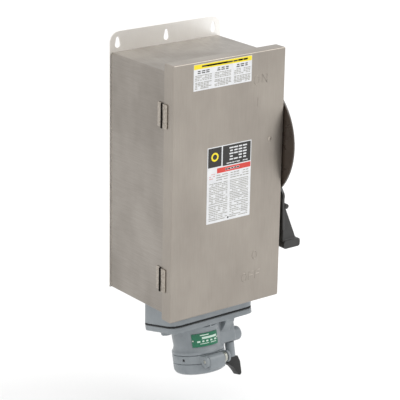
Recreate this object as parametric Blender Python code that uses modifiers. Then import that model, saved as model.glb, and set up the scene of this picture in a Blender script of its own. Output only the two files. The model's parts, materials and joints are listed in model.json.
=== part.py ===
"""Fused disconnect switch in a stainless wall enclosure, with an interlocked pin-and-sleeve receptacle.

Metres, +Z up, front towards -Y. The origin is on the rear (wall) face, at mid-height of the door.
The receptacle under the box is drawn in its own tilted frame: x sideways, y back along the tilted
flange from its front edge, and z up out of the flange, so its depths below the flange are negative.
"""
import math

import bmesh
import bpy
from mathutils import Matrix, Vector

# ---------------------------------------------------------------- sizes
GAP = 0.0003                    # clearance between pieces that touch
ROUND_SIDES = 24                # facets of a small round piece

# enclosure
DOOR_WIDTH = 0.2286
DOOR_HEIGHT = 0.4318
ENCLOSURE_DEPTH = 0.1743        # wall face to door front
DOOR_SHEET = 0.0015
DOOR_RETURN = 0.0229            # depth of the door's flanges
DOOR_BEND = 0.0025
BODY_SHEET = 0.0019
BODY_BEND = 0.004
BODY_INSET = 0.0024             # body side behind the door's side
BODY_TOP_DROP = 0.0143
BODY_BOTTOM_RISE = 0.0094
BODY_SETBACK = 0.009            # body's front edge behind the door front
BODY_LIP = 0.012
PANEL_SHEET = 0.002
PANEL_OVERHANG = 0.0019         # back panel beyond the body, each side
PANEL_EAR = 0.034               # back panel above the body
PANEL_CORNER = 0.018
KEYHOLE_EDGE = 0.0153           # keyhole centre to the panel's side edge
KEYHOLE_DROP = 0.0225           # wide end's centre below the panel's top
KEYHOLE_RISE = 0.0105           # wide centre to narrow centre
KEYHOLE_WIDE = 0.005
KEYHOLE_NARROW = 0.0028

# door furniture
HINGE_SETBACK = 0.027           # hinge axis behind the door front
HINGE_OFFSET = 0.001            # hinge axis outside the door's side
HINGE_LENGTH = 0.040
HINGE_PIN = 0.0010
HINGE_KNUCKLE = 0.0024
HINGE_LEAF = 0.0013
HINGE_UPPER_DROP = 0.0853       # hinge centre below the door's top
HINGE_LOWER_RISE = 0.070        # hinge centre above the door's bottom
GASKET_WIDTH = 0.010
SCREW_RADIUS = 0.0030

# latches
LATCH_RISE = 0.060              # latch centre from the door's bottom edge
LATCH_DROP = 0.042              # latch centre from the door's top edge
LATCH_HEIGHT = 0.020
LATCH_SETBACK = 0.050           # lever pivot behind the door front
LATCH_WIRE = 0.0012
LATCH_PIN = 0.0010
CATCH_SETBACK = 0.0172

# handle and its guard
HANDLE_DROP = 0.1546            # handle axis below the body's top
HANDLE_STANDOFF = 0.0888        # handle axis in front of the wall
GUARD_RADIUS = 0.110
GUARD_SHEET = 0.003
GUARD_STANDOFF = 0.0045         # guard's inner face off the body
GUARD_WALL_CLEARANCE = 0.006
SHAFT_RADIUS = 0.007
BUSHING_WALL = 0.0037
ARM_SHEET = 0.0045
ARM_STANDOFF = 0.0029           # arm off the guard, clear of the latches
GRIP_PIN_RADIUS = 0.0043

# switch mechanism
SIDE_GUTTER = 0.022             # wiring space left of the bases
MECHANISM_WIDTH = 0.038
MECHANISM_WALL_GAP = 0.006
BASE_MECHANISM_GAP = 0.012
MECHANISM_SHEET = 0.0015
TOP_GUTTER = 0.010
LINE_BASE_HEIGHT = 0.062
BASE_DEPTH = 0.034
BLADE_LENGTH = 0.062
BLADE_WIDTH = 0.014
BLADE_SHEET = 0.0024
BLADE_AXIS_STANDOFF = 0.051
BLADE_AXIS_DROP = 0.028         # blade axis below the line base
BLADE_OPEN = math.radians(60)
CROSSBAR_REACH = 0.030          # crossbar from the blade axis
CROSSBAR_SIDE = 0.011
CROSSBAR_DEPTH = 0.021
JAW_SHEET = 0.0016
JAW_SLIP = 0.00035              # blade to jaw, each side
POLES = 3

# fuses
FUSE_LENGTH = 0.140
FUSE_RADIUS = 0.0135
FERRULE_LENGTH = 0.016
CLIP_SHEET = 0.0015
CLIP_LENGTH = 0.014
BLADE_PIN = 0.0025
ROTOR_JOURNAL = 0.006
BARRIER_REACH = 0.056           # arc barriers in front of the line base
BARRIER_SHEET = 0.002
FUSE_DROP = 0.030               # fuse's top below the blade axis
LOAD_BASE_DEPTH = 0.020
LOAD_BASE_TAIL = 0.046          # load base below the fuses
LUG_SIZE = (0.014, 0.014, 0.016)
WIRE_RADIUS = 0.0031

# receptacle, in its tilted frame
RECEPTACLE_TILT = math.radians(13.4)
RECEPTACLE_SETBACK = 0.027      # flange's front edge behind the door front
RECEPTACLE_DROP = 0.0225        # flange's front edge below the door
FLANGE_WIDTH = 0.1748
FLANGE_LENGTH = 0.094
FLANGE_CORNER = 0.018
FLANGE_THICK = 0.0095
SEAL_THICK = 0.002
ADAPTER_WALL = 0.008
BARREL_X = -0.0103
BARREL_Y = 0.046
BARREL_RADIUS = 0.0408
BORE_RADIUS = 0.034
COLLAR_RADIUS = 0.045
COLLAR_DEPTH = 0.0605           # flange top to the collar's lower face
RING_HEIGHT = 0.0145
CAP_HEIGHT = 0.019
CAP_EDGE = 0.009
INTERLOCK_X = (0.0050, 0.0545)
INTERLOCK_Y = (0.020, 0.050)
INTERLOCK_DEPTH = 0.055
WEB_X = (0.022, 0.041)          # rib from the flange's front edge to the interlock box
BOSS_RADIUS = 0.0125
BOSS_REACH = 0.0161
PIVOT_Y = 0.035
PIVOT_DEPTH = 0.0468
PIVOT_RADIUS = 0.003
LEVER_X = 0.0488
LEVER_HUB_RADIUS = 0.0065
LEVER_HUB_HALF = 0.006
LEVER_SHANK = 0.0084
LEVER_SHANK_END = 0.0377        # pivot to the shank's lower end
CAP_RIM = 0.0065                # cap's wall around its recess
CAP_HINGE_CLEARANCE = 0.0005    # hinge barrel below the collar
CAP_HINGE_RADIUS = 0.010
CAP_PIN_RADIUS = 0.003

# ---------------------------------------------------------------- places worked out from the sizes
FRONT = -ENCLOSURE_DEPTH
DOOR_SIDE = DOOR_WIDTH / 2
DOOR_TOP = DOOR_HEIGHT / 2
BODY_SIDE = DOOR_SIDE - BODY_INSET
BODY_TOP = DOOR_TOP - BODY_TOP_DROP
BODY_BOTTOM = -DOOR_TOP + BODY_BOTTOM_RISE
BODY_FRONT = FRONT + BODY_SETBACK
BODY_BACK = -PANEL_SHEET - GAP
PANEL_TOP = BODY_TOP + PANEL_EAR
INNER_SIDE = BODY_SIDE - BODY_SHEET
INNER_TOP = BODY_TOP - BODY_SHEET

HINGE_X = -DOOR_SIDE - HINGE_OFFSET
HINGE_Y = FRONT + HINGE_SETBACK
HINGES = {"upper": DOOR_TOP - HINGE_UPPER_DROP, "lower": -DOOR_TOP + HINGE_LOWER_RISE}
LATCHES = {"upper": DOOR_TOP - LATCH_DROP, "lower": -DOOR_TOP + LATCH_RISE}
LATCH_X = BODY_SIDE + 0.0055
LATCH_Y = FRONT + LATCH_SETBACK
BAIL_TIP_X = DOOR_SIDE + 0.0042

HANDLE_Z = BODY_TOP - HANDLE_DROP
HANDLE_Y = -HANDLE_STANDOFF
GUARD_X = BODY_SIDE + GUARD_STANDOFF
ARM_X = GUARD_X + GUARD_SHEET + ARM_STANDOFF

MECHANISM_X = (INNER_SIDE - MECHANISM_WALL_GAP - MECHANISM_WIDTH, INNER_SIDE - MECHANISM_WALL_GAP)
BASE_X = (-INNER_SIDE + SIDE_GUTTER, MECHANISM_X[0] - BASE_MECHANISM_GAP)
POLE_PITCH = (BASE_X[1] - BASE_X[0]) / POLES
POLE_X = [BASE_X[0] + POLE_PITCH * (i + 0.5) for i in range(POLES)]
LINE_BASE_Z = (INNER_TOP - TOP_GUTTER - LINE_BASE_HEIGHT, INNER_TOP - TOP_GUTTER)
LINE_BASE_Y = (BODY_BACK - GAP - BASE_DEPTH, BODY_BACK - GAP)
BLADE_Y = -BLADE_AXIS_STANDOFF
BLADE_Z = LINE_BASE_Z[0] - BLADE_AXIS_DROP
LOAD_BASE_Y = (BODY_BACK - GAP - LOAD_BASE_DEPTH, BODY_BACK - GAP)
FUSE_Y = LOAD_BASE_Y[0] - 2 * GAP - 2 * CLIP_SHEET - FUSE_RADIUS - 0.004
FUSE_TOP = BLADE_Z - FUSE_DROP
FUSE_BOTTOM = FUSE_TOP - FUSE_LENGTH
CLIP_Z = {"upper": FUSE_TOP - FERRULE_LENGTH / 2, "lower": FUSE_BOTTOM + FERRULE_LENGTH / 2}
LOAD_BASE_Z = (FUSE_BOTTOM - LOAD_BASE_TAIL, LINE_BASE_Z[0] - 0.010)
LINE_LUG_Z = LINE_BASE_Z[1] - 0.012
LOAD_LUG_Z = FUSE_BOTTOM - 0.028

SEAL_TOP = -GAP
FLANGE_TOP = SEAL_TOP - SEAL_THICK - GAP
FLANGE_BOTTOM = FLANGE_TOP - FLANGE_THICK
COLLAR_BOTTOM = -COLLAR_DEPTH + GAP
RING_TOP = -COLLAR_DEPTH
CAP_RECESS = COLLAR_RADIUS - CAP_RIM
CAP_HINGE_DEPTH = COLLAR_DEPTH + CAP_HINGE_RADIUS + CAP_HINGE_CLEARANCE
CAP_HINGE_Y = BARREL_Y - CAP_RECESS - CAP_HINGE_RADIUS + CAP_HINGE_CLEARANCE
RING_BOTTOM = RING_TOP - RING_HEIGHT
CAP_TOP = RING_BOTTOM - GAP
CAP_BOTTOM = CAP_TOP - CAP_HEIGHT
HINGE_BARREL_X = (BARREL_X - 0.0187, BARREL_X + 0.0130)
HINGE_SPRING_X = (HINGE_BARREL_X[1] + 0.0006, HINGE_BARREL_X[1] + 0.0076)
HINGE_LUG_LEFT = (HINGE_BARREL_X[0] - 0.0060, HINGE_BARREL_X[0] - GAP)
HINGE_LUG_RIGHT = (HINGE_SPRING_X[1] + GAP, HINGE_SPRING_X[1] + 0.0045)


# ---------------------------------------------------------------- scene and helpers
for old in list(bpy.data.objects):
    bpy.data.objects.remove(old, do_unlink=True)


def new_collection(name):
    collection = bpy.data.collections.new(name)
    bpy.context.scene.collection.children.link(collection)
    return collection


PARTS = new_collection("fused_disconnect_switch")
CUTTERS = new_collection("cutters")
MATERIALS = {}


def material(name, color, roughness, metallic=0.0):
    mat = bpy.data.materials.new(name)
    mat.use_nodes = True
    shader = mat.node_tree.nodes["Principled BSDF"]
    shader.inputs["Base Color"].default_value = (*color, 1.0)
    shader.inputs["Roughness"].default_value = roughness
    shader.inputs["Metallic"].default_value = metallic
    MATERIALS[name] = mat


material("stainless", (0.40, 0.37, 0.34), 0.35, 1.0)
material("cast_grey", (0.23, 0.26, 0.28), 0.45)
material("black_steel", (0.03, 0.03, 0.03), 0.45, 0.6)
material("black_plastic", (0.035, 0.035, 0.035), 0.5)
material("rubber", (0.02, 0.02, 0.02), 0.7)
material("copper", (0.72, 0.38, 0.22), 0.3, 1.0)
material("tin_plate", (0.60, 0.60, 0.58), 0.3, 1.0)
material("brass", (0.70, 0.52, 0.22), 0.3, 1.0)
material("base_moulding", (0.10, 0.035, 0.02), 0.5)
material("fuse_tube", (0.45, 0.25, 0.12), 0.6)
material("nameplate_green", (0.005, 0.15, 0.07), 0.3, 0.5)
material("wire_black", (0.02, 0.02, 0.02), 0.45)
material("wire_green", (0.02, 0.20, 0.05), 0.45)


def empty(name, location, parent=None, tilt=0.0):
    pivot = bpy.data.objects.new(name, None)
    pivot.location = location
    pivot.rotation_euler = (tilt, 0.0, 0.0)
    pivot.parent = parent
    PARTS.objects.link(pivot)
    return pivot


def new_object(name, mesh):
    return bpy.data.objects.new(name, mesh)


def hold(obj, pivot=None, frame=None):
    """Parent a piece, drawn in the coordinates of its pivot's own parent, to that pivot."""
    if pivot is not None:
        obj.parent = pivot
        obj.matrix_parent_inverse = Matrix.Translation(-pivot.location)
    elif frame is not None:
        obj.parent = frame
    return obj


def part(obj, mat, pivot=None, frame=None, smooth=True):
    PARTS.objects.link(obj)
    obj.data.materials.append(MATERIALS[mat])
    if smooth and obj.type == "MESH":
        obj.data.shade_smooth()
        obj.data.set_sharp_from_angle(angle=math.radians(35))
    return hold(obj, pivot, frame)


def tool(obj, frame=None):
    CUTTERS.objects.link(obj)
    obj.hide_render = True
    obj.display_type = "WIRE"
    return hold(obj, frame=frame)


def combine(obj, operation, shapes, frame=None):
    for shape in shapes:
        tool(shape, frame)
        modifier = obj.modifiers.new(operation.title(), "BOOLEAN")
        modifier.operation = operation
        modifier.solver = "EXACT"
        modifier.object = shape
    return obj


def unite(obj, *shapes, frame=None):
    return combine(obj, "UNION", shapes, frame)


def cut(obj, *shapes, frame=None):
    return combine(obj, "DIFFERENCE", shapes, frame)


def block(name, x, y, z, radius=0.0, along="Z", segments=4, where=None):
    """A box between three pairs of limits, its edges parallel to one axis rounded."""
    bm = bmesh.new()
    bmesh.ops.create_cube(bm, size=1.0)
    low = Vector((x[0], y[0], z[0]))
    high = Vector((x[1], y[1], z[1]))
    bmesh.ops.scale(bm, vec=high - low, verts=bm.verts)
    bmesh.ops.translate(bm, vec=(low + high) / 2, verts=bm.verts)
    if radius:
        index = "XYZ".index(along)
        edges = []
        for edge in bm.edges:
            run = (edge.verts[1].co - edge.verts[0].co).normalized()
            middle = (edge.verts[0].co + edge.verts[1].co) / 2
            if abs(run[index]) > 0.99 and (where is None or where(middle)):
                edges.append(edge)
        bmesh.ops.bevel(bm, geom=edges, offset=radius, segments=segments, profile=0.5,
                        affect="EDGES")
    mesh = bpy.data.meshes.new(name)
    bm.to_mesh(mesh)
    bm.free()
    return new_object(name, mesh)


def rod(name, start, end, radius, end_radius=None, sides=ROUND_SIDES):
    """A cylinder or cone between two points."""
    start = Vector(start)
    end = Vector(end)
    bm = bmesh.new()
    turn = (end - start).to_track_quat("Z", "Y").to_matrix().to_4x4()
    bmesh.ops.create_cone(bm, cap_ends=True, segments=sides, radius1=radius,
                          radius2=radius if end_radius is None else end_radius,
                          depth=(end - start).length,
                          matrix=Matrix.Translation((start + end) / 2) @ turn)
    mesh = bpy.data.meshes.new(name)
    bm.to_mesh(mesh)
    bm.free()
    return new_object(name, mesh)


def turned(name, profile, centre, direction="Z", steps=40):
    """A (radius, height) profile turned about an axis through centre, pointing along direction."""
    mesh = bpy.data.meshes.new(name)
    closed = profile[0][0] > 0
    count = len(profile)
    edges = [(i, i + 1) for i in range(count - 1)]
    if closed:
        edges.append((count - 1, 0))
    mesh.from_pydata([(radius, 0.0, height) for radius, height in profile], edges, [])
    obj = new_object(name, mesh)
    obj.location = centre
    if direction == "X":
        obj.rotation_euler = (0.0, math.pi / 2, 0.0)
    elif direction == "Y":
        obj.rotation_euler = (-math.pi / 2, 0.0, 0.0)
    screw = obj.modifiers.new("Turn", "SCREW")
    screw.steps = steps
    screw.render_steps = steps
    screw.use_merge_vertices = True
    screw.merge_threshold = 0.00001
    screw.use_smooth_shade = True
    return obj


def arc(centre, radius, start, end, count):
    """Points of a round stretch of a profile, angles in degrees."""
    points = []
    for i in range(count + 1):
        angle = math.radians(start + (end - start) * i / count)
        points.append((centre[0] + radius * math.cos(angle), centre[1] + radius * math.sin(angle)))
    return points


def outline(name, points, span, along="X"):
    """A flat outline, its points across the axis it is extruded along, between two places on that axis."""
    index = "XYZ".index(along)
    bm = bmesh.new()
    corners = []
    for point in points:
        place = list(point)
        place.insert(index, span[0])
        corners.append(bm.verts.new(place))
    face = bm.faces.new(corners)
    extruded = bmesh.ops.extrude_face_region(bm, geom=[face])
    moved = [item for item in extruded["geom"] if isinstance(item, bmesh.types.BMVert)]
    shift = [0.0, 0.0, 0.0]
    shift[index] = span[1] - span[0]
    bmesh.ops.translate(bm, vec=shift, verts=moved)
    bmesh.ops.recalc_face_normals(bm, faces=bm.faces)
    mesh = bpy.data.meshes.new(name)
    bm.to_mesh(mesh)
    bm.free()
    return new_object(name, mesh)


def smooth_path(points, per_span):
    """Points of a Catmull-Rom curve through the given ones."""
    ends = [points[0] * 2 - points[1], *points, points[-1] * 2 - points[-2]]
    path = []
    for i in range(1, len(ends) - 2):
        a, b, c, d = ends[i - 1:i + 3]
        for step in range(per_span):
            t = step / per_span
            path.append(0.5 * (2 * b + (c - a) * t + (2 * a - 5 * b + 4 * c - d) * t ** 2
                               + (3 * b - a - 3 * c + d) * t ** 3))
    path.append(points[-1])
    return path


def wire(name, paths, radius, resolution=2):
    curve = bpy.data.curves.new(name, "CURVE")
    curve.dimensions = "3D"
    curve.bevel_depth = radius
    curve.bevel_resolution = resolution
    curve.use_fill_caps = True
    for path in paths:
        spline = curve.splines.new("POLY")
        spline.points.add(len(path) - 1)
        for point, place in zip(spline.points, path):
            point.co = (*place, 1.0)
    return bpy.data.objects.new(name, curve)


def meshed(curve_object):
    """A curve object's tube as a mesh with its caps welded, so that it can be cut or joined."""
    bpy.context.scene.collection.objects.link(curve_object)
    depsgraph = bpy.context.evaluated_depsgraph_get()
    depsgraph.update()
    mesh = bpy.data.meshes.new_from_object(curve_object.evaluated_get(depsgraph))
    name = curve_object.name
    bpy.data.objects.remove(curve_object, do_unlink=True)
    bm = bmesh.new()
    bm.from_mesh(mesh)
    bmesh.ops.remove_doubles(bm, verts=bm.verts, dist=0.000001)
    bm.to_mesh(mesh)
    bm.free()
    mesh.name = name
    return new_object(name, mesh)


# ---------------------------------------------------------------- joint axes and frames
def tilted_point(x, y, z):
    """World place of a point given in the receptacle's frame."""
    turn = Matrix.Rotation(-RECEPTACLE_TILT, 4, "X")
    return Matrix.Translation(RECEPTACLE_ORIGIN) @ turn @ Vector((x, y, z))


RECEPTACLE_ORIGIN = Vector((0.0, FRONT + RECEPTACLE_SETBACK, -DOOR_TOP - RECEPTACLE_DROP))
door_axis = empty("door_axis", (HINGE_X, HINGE_Y, 0.0))
handle_axis = empty("handle_axis", (ARM_X, HANDLE_Y, HANDLE_Z))
rotor_axis = empty("rotor_axis", (0.0, BLADE_Y, BLADE_Z))
receptacle_frame = empty("receptacle_frame", RECEPTACLE_ORIGIN, tilt=-RECEPTACLE_TILT)
cap_axis = empty("cap_axis", (BARREL_X, CAP_HINGE_Y, -CAP_HINGE_DEPTH), receptacle_frame)
lever_axis = empty("lever_axis", (LEVER_X, PIVOT_Y, -PIVOT_DEPTH), receptacle_frame)


# ---------------------------------------------------------------- enclosure
def back_panel():
    side = BODY_SIDE + PANEL_OVERHANG
    panel = block("back_panel", (-side, side), (-PANEL_SHEET, 0.0), (BODY_BOTTOM, PANEL_TOP),
                  PANEL_CORNER, "Y", 6, where=lambda middle: middle.z > 0)
    part(panel, "stainless")
    wide_z = PANEL_TOP - KEYHOLE_DROP
    for x in (-side + KEYHOLE_EDGE, 0.0, side - KEYHOLE_EDGE):
        # a teardrop: the wide end below, the narrow end above
        lean = math.degrees(math.asin((KEYHOLE_WIDE - KEYHOLE_NARROW) / KEYHOLE_RISE))
        points = arc((x, wide_z), KEYHOLE_WIDE, 180 - lean, 360 + lean, 10)
        points += arc((x, wide_z + KEYHOLE_RISE), KEYHOLE_NARROW, lean, 180 - lean, 6)
        cut(panel, outline("keyhole", points, (-4 * PANEL_SHEET, 2 * PANEL_SHEET), "Y"))


def enclosure_body():
    body = block("enclosure_body", (-BODY_SIDE, BODY_SIDE), (BODY_FRONT, BODY_BACK),
                 (BODY_BOTTOM, BODY_TOP), BODY_BEND, "Y")
    inner_bottom = BODY_BOTTOM + BODY_SHEET
    cavity = block("body_cavity", (-INNER_SIDE, INNER_SIDE), (BODY_FRONT + BODY_SHEET, 0.01),
                   (inner_bottom, INNER_TOP), BODY_BEND - BODY_SHEET, "Y")
    mouth_x = INNER_SIDE - BODY_LIP
    mouth = block("body_mouth", (-mouth_x, mouth_x), (BODY_FRONT - 0.01, BODY_FRONT + 0.01),
                  (inner_bottom + BODY_LIP, INNER_TOP - BODY_LIP), BODY_LIP / 2, "Y")
    passage_y = sorted(tilted_point(0.0, y, 0.0).y for y in (0.024, FLANGE_LENGTH - 0.020))
    passage = block("wire_passage", (-0.045, 0.045), passage_y,
                    (BODY_BOTTOM - 0.01, inner_bottom + 0.01), 0.008, "Z")
    bushing_hole = rod("bushing_hole", (INNER_SIDE - 0.01, HANDLE_Y, HANDLE_Z),
                       (BODY_SIDE + 0.01, HANDLE_Y, HANDLE_Z), SHAFT_RADIUS + BUSHING_WALL + GAP * 2)
    holes = [rod("guard_hole", (INNER_SIDE - 0.01, y, z), (BODY_SIDE + 0.01, y, z), 0.0024, sides=8)
             for y, z in guard_screw_places()]
    part(body, "stainless")
    cut(body, cavity, mouth, passage, bushing_hole, *holes)


def pan(name, x, y, z, sheet, bend):
    """A sheet-metal pan: an open box with bent edges, open towards +Y."""
    bm = bmesh.new()
    bmesh.ops.create_cube(bm, size=1.0)
    low = Vector((x[0], y[0], z[0]))
    high = Vector((x[1], y[1], z[1]))
    bmesh.ops.scale(bm, vec=high - low, verts=bm.verts)
    bmesh.ops.translate(bm, vec=(low + high) / 2, verts=bm.verts)
    back = [face for face in bm.faces if face.normal.y > 0.9]
    bmesh.ops.delete(bm, geom=back, context="FACES_ONLY")
    mesh = bpy.data.meshes.new(name)
    bm.to_mesh(mesh)
    bm.free()
    obj = new_object(name, mesh)
    bevel = obj.modifiers.new("Bends", "BEVEL")
    bevel.width = bend
    bevel.segments = 3
    solid = obj.modifiers.new("Sheet", "SOLIDIFY")
    solid.thickness = sheet
    solid.offset = -1.0
    solid.use_even_offset = True
    solid.use_quality_normals = True
    return obj


def door():
    panel = pan("door_panel", (-DOOR_SIDE, DOOR_SIDE), (FRONT, FRONT + DOOR_RETURN),
                (-DOOR_TOP, DOOR_TOP), DOOR_SHEET, DOOR_BEND)
    part(panel, "stainless", door_axis)
    latches(panel)
    x, z = defeater_place()
    cut(panel, rod("defeater_hole", (x, FRONT - 0.01, z), (x, FRONT + 0.01, z), SCREW_RADIUS + GAP))

    front = FRONT + DOOR_SHEET + GAP
    side = BODY_SIDE - 0.003
    top = BODY_TOP - 0.003
    bottom = BODY_BOTTOM + 0.003
    gasket = block("door_gasket", (-side, side), (front, BODY_FRONT - GAP), (bottom, top), 0.004, "Y", 3)
    hole = block("gasket_hole", (-side + GASKET_WIDTH, side - GASKET_WIDTH),
                 (front - 0.01, BODY_FRONT + 0.01), (bottom + GASKET_WIDTH, top - GASKET_WIDTH),
                 0.003, "Y", 3)
    part(gasket, "rubber", door_axis)
    cut(gasket, hole)


def defeater_place():
    return DOOR_SIDE - 0.0295, DOOR_TOP - 0.1500


def defeater_screw():
    x, z = defeater_place()
    axis = empty("defeater_axis", (x - HINGE_X, FRONT - HINGE_Y, z), door_axis)
    head = turned("defeater_screw", [(0.0, 0.0014), (0.0022, 0.0012), (SCREW_RADIUS + 0.001, 0.0003),
                                     (SCREW_RADIUS + 0.001, GAP), (SCREW_RADIUS, GAP),
                                     (SCREW_RADIUS, -0.0050), (0.0, -0.0050)], (0.0, 0.0, 0.0), steps=20)
    head.rotation_euler = (math.pi / 2, 0.0, 0.0)
    part(head, "stainless", smooth=False)
    head.parent = axis
    slot = block("defeater_slot", (-0.0055, 0.0055), (-0.0030, -0.0006), (-0.0005, 0.0005))
    tool(slot)
    slot.parent = axis
    cut_slot = head.modifiers.new("Slot", "BOOLEAN")
    cut_slot.operation = "DIFFERENCE"
    cut_slot.object = slot


def hinges():
    half = HINGE_LENGTH / 2
    third = HINGE_LENGTH / 6
    body_leaf = (-BODY_SIDE - GAP - HINGE_LEAF, -BODY_SIDE - GAP)
    door_leaf = (-DOOR_SIDE - GAP - HINGE_LEAF, -DOOR_SIDE - GAP)
    knuckle_clear = HINGE_KNUCKLE + GAP
    for name, z in HINGES.items():
        fixed = block("hinge_body_leaf_" + name, body_leaf, (HINGE_Y + knuckle_clear, HINGE_Y + 0.014),
                      (z - half, z + half), 0.002, "X", 2)
        part(fixed, "stainless")
        # the pin is riveted into the fixed leaf's knuckle
        unite(fixed, block("tongue", body_leaf, (HINGE_Y, HINGE_Y + knuckle_clear + 0.001),
                           (z - third, z + third)),
              rod("knuckle", (HINGE_X, HINGE_Y, z - third), (HINGE_X, HINGE_Y, z + third), HINGE_KNUCKLE,
                  sides=16),
              rod("pin", (HINGE_X, HINGE_Y, z - half - 0.001), (HINGE_X, HINGE_Y, z + half + 0.001),
                  HINGE_PIN, sides=12))

        moving = block("hinge_door_leaf_" + name, door_leaf,
                       (HINGE_Y - 0.014, HINGE_Y - knuckle_clear), (z - half, z + half), 0.002, "X", 2)
        part(moving, "stainless", door_axis)
        for low, high in ((z - half, z - third - GAP), (z + third + GAP, z + half)):
            unite(moving, block("tongue", door_leaf, (HINGE_Y - knuckle_clear - 0.001, HINGE_Y), (low, high)),
                  rod("knuckle", (HINGE_X, HINGE_Y, low), (HINGE_X, HINGE_Y, high), HINGE_KNUCKLE, sides=16))
        cut(moving, rod("bore", (HINGE_X, HINGE_Y, z - half - 0.002), (HINGE_X, HINGE_Y, z + half + 0.002),
                        HINGE_PIN + GAP, sides=16))


# ---------------------------------------------------------------- draw latches on the right side
def latches(door_panel):
    for name, z in LATCHES.items():
        half = LATCH_HEIGHT / 2
        wall = BODY_SIDE + GAP
        pivot = empty("latch_axis_" + name, (LATCH_X, LATCH_Y, z))
        bail_x = LATCH_X + 0.0010
        bail_y = LATCH_Y + 0.0080
        bail_pivot = empty("bail_axis_" + name, (bail_x - LATCH_X, bail_y - LATCH_Y, 0.0), pivot)

        base = block("latch_base_" + name, (wall, wall + 0.0015), (LATCH_Y - 0.010, LATCH_Y + 0.026),
                     (z - half, z + half), 0.003, "X", 3)
        part(base, "stainless")
        for low, high in ((z - 0.0065, z - 0.0050), (z + 0.0050, z + 0.0065)):
            ear = [(wall, LATCH_Y - 0.004), (wall, LATCH_Y + 0.004), (LATCH_X + 0.002, LATCH_Y + 0.003),
                   (LATCH_X + 0.002, LATCH_Y - 0.003)]
            unite(base, outline("ear", ear, (low, high), "Z"))
        cut(base, rod("ear_bore", (LATCH_X, LATCH_Y, z - half), (LATCH_X, LATCH_Y, z + half), LATCH_PIN + GAP,
                      sides=12))

        # lever: a channel over the base, turning on a pin through the ears
        lever = block("latch_lever_" + name, (LATCH_X + 0.0030, LATCH_X + 0.0045),
                      (LATCH_Y + 0.0035, LATCH_Y + 0.034), (z - 0.0090, z + 0.0090), 0.0015, "X", 3)
        part(lever, "stainless", pivot)
        for low, high in ((z - 0.0086, z - 0.0071), (z + 0.0071, z + 0.0086)):
            unite(lever, block("cheek", (LATCH_X - 0.0025, LATCH_X + 0.0035),
                               (LATCH_Y - 0.0022, LATCH_Y + 0.0120), (low, high)))
        unite(lever, rod("lever_pin", (LATCH_X, LATCH_Y, z - 0.0080), (LATCH_X, LATCH_Y, z + 0.0080),
                         LATCH_PIN, sides=12))
        bail_bore = rod("bail_bore", (bail_x, bail_y, z - half), (bail_x, bail_y, z + half), LATCH_WIRE + GAP,
                        sides=16)
        cut(lever, bail_bore)

        # bail: a wire loop from the lever's cheeks to the catch
        foot = Vector((bail_x, bail_y, 0.0))
        tip = Vector((BAIL_TIP_X, FRONT + CATCH_SETBACK - 0.0030, 0.0))
        inner = Vector((0.0, 0.0, 0.0070))
        outer = Vector((0.0, 0.0, 0.0106))
        middle = Vector((0.0, 0.0, z))
        loop = [middle + foot - outer, middle + tip - outer, middle + tip + outer, middle + foot + outer]
        bail = meshed(wire("latch_bail_" + name, [loop], LATCH_WIRE, 1))
        part(bail, "stainless")
        for side in (-1, 1):
            unite(bail, rod("hook", middle + foot + inner * side, middle + foot + outer * side * 1.06,
                            LATCH_WIRE, sides=12))
        bail.parent = bail_pivot
        bail.matrix_parent_inverse = Matrix.Translation(-(pivot.location + bail_pivot.location))

        # catch: a small angle welded to the door's flange
        catch_y = FRONT + CATCH_SETBACK
        unite(door_panel, block("catch", (DOOR_SIDE - 0.0005, DOOR_SIDE + 0.0010),
                                (catch_y - 0.006, catch_y + 0.0045), (z - 0.008, z + 0.008)),
              block("tab", (DOOR_SIDE - 0.0005, BAIL_TIP_X - LATCH_WIRE - 0.0005),
                    (catch_y - 0.0008, catch_y + 0.0008), (z - 0.008, z + 0.008)))


# ---------------------------------------------------------------- handle, guard and shaft
def guard_screw_places():
    return [(HANDLE_Y + dy, HANDLE_Z + dz) for dy in (-0.045, 0.045) for dz in (-0.060, 0.060)]


def handle_guard():
    centre = (GUARD_X, HANDLE_Y, HANDLE_Z)
    guard = rod("handle_guard", centre, (GUARD_X + GUARD_SHEET, HANDLE_Y, HANDLE_Z), GUARD_RADIUS, sides=64)
    part(guard, "black_steel")
    back = block("guard_trim", (GUARD_X - 0.01, GUARD_X + 0.02),
                 (-GUARD_WALL_CLEARANCE, HANDLE_Y + GUARD_RADIUS + 0.01),
                 (HANDLE_Z - GUARD_RADIUS, HANDLE_Z + GUARD_RADIUS))
    hole = rod("guard_bore", (GUARD_X - 0.01, HANDLE_Y, HANDLE_Z), (GUARD_X + 0.01, HANDLE_Y, HANDLE_Z),
               SHAFT_RADIUS + BUSHING_WALL + GAP * 2)
    cut(guard, back, hole)

    # four studs stand the guard off the body and pass through its side
    face = GUARD_X + GUARD_SHEET
    profile = [(0.0, 0.0010), (0.0034, 0.0008), (0.0044, -0.0005), (0.0044, -0.0010), (0.0050, -0.0010),
               (0.0050, BODY_SIDE + GAP - face), (0.0020, BODY_SIDE + GAP - face),
               (0.0020, INNER_SIDE - 0.004 - face), (0.0, INNER_SIDE - 0.004 - face)]
    unite(guard, *[turned("stud", profile, (face, y, z), "X", 8) for y, z in guard_screw_places()])

    inner = SHAFT_RADIUS + GAP
    outer = SHAFT_RADIUS + BUSHING_WALL
    base = INNER_SIDE - 0.004
    length = GUARD_X + GUARD_SHEET + 0.0012 - base
    flange = (BODY_SIDE + GAP - base, GUARD_X - GAP - base)
    profile = [(inner, length), (outer, length), (outer, flange[1]), (0.017, flange[1]),
               (0.017, flange[0]), (outer, flange[0]), (outer, 0.0), (inner, 0.0)]
    bushing = turned("handle_bushing", profile, (base, HANDLE_Y, HANDLE_Z), "X", 20)
    part(bushing, "brass")


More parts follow.
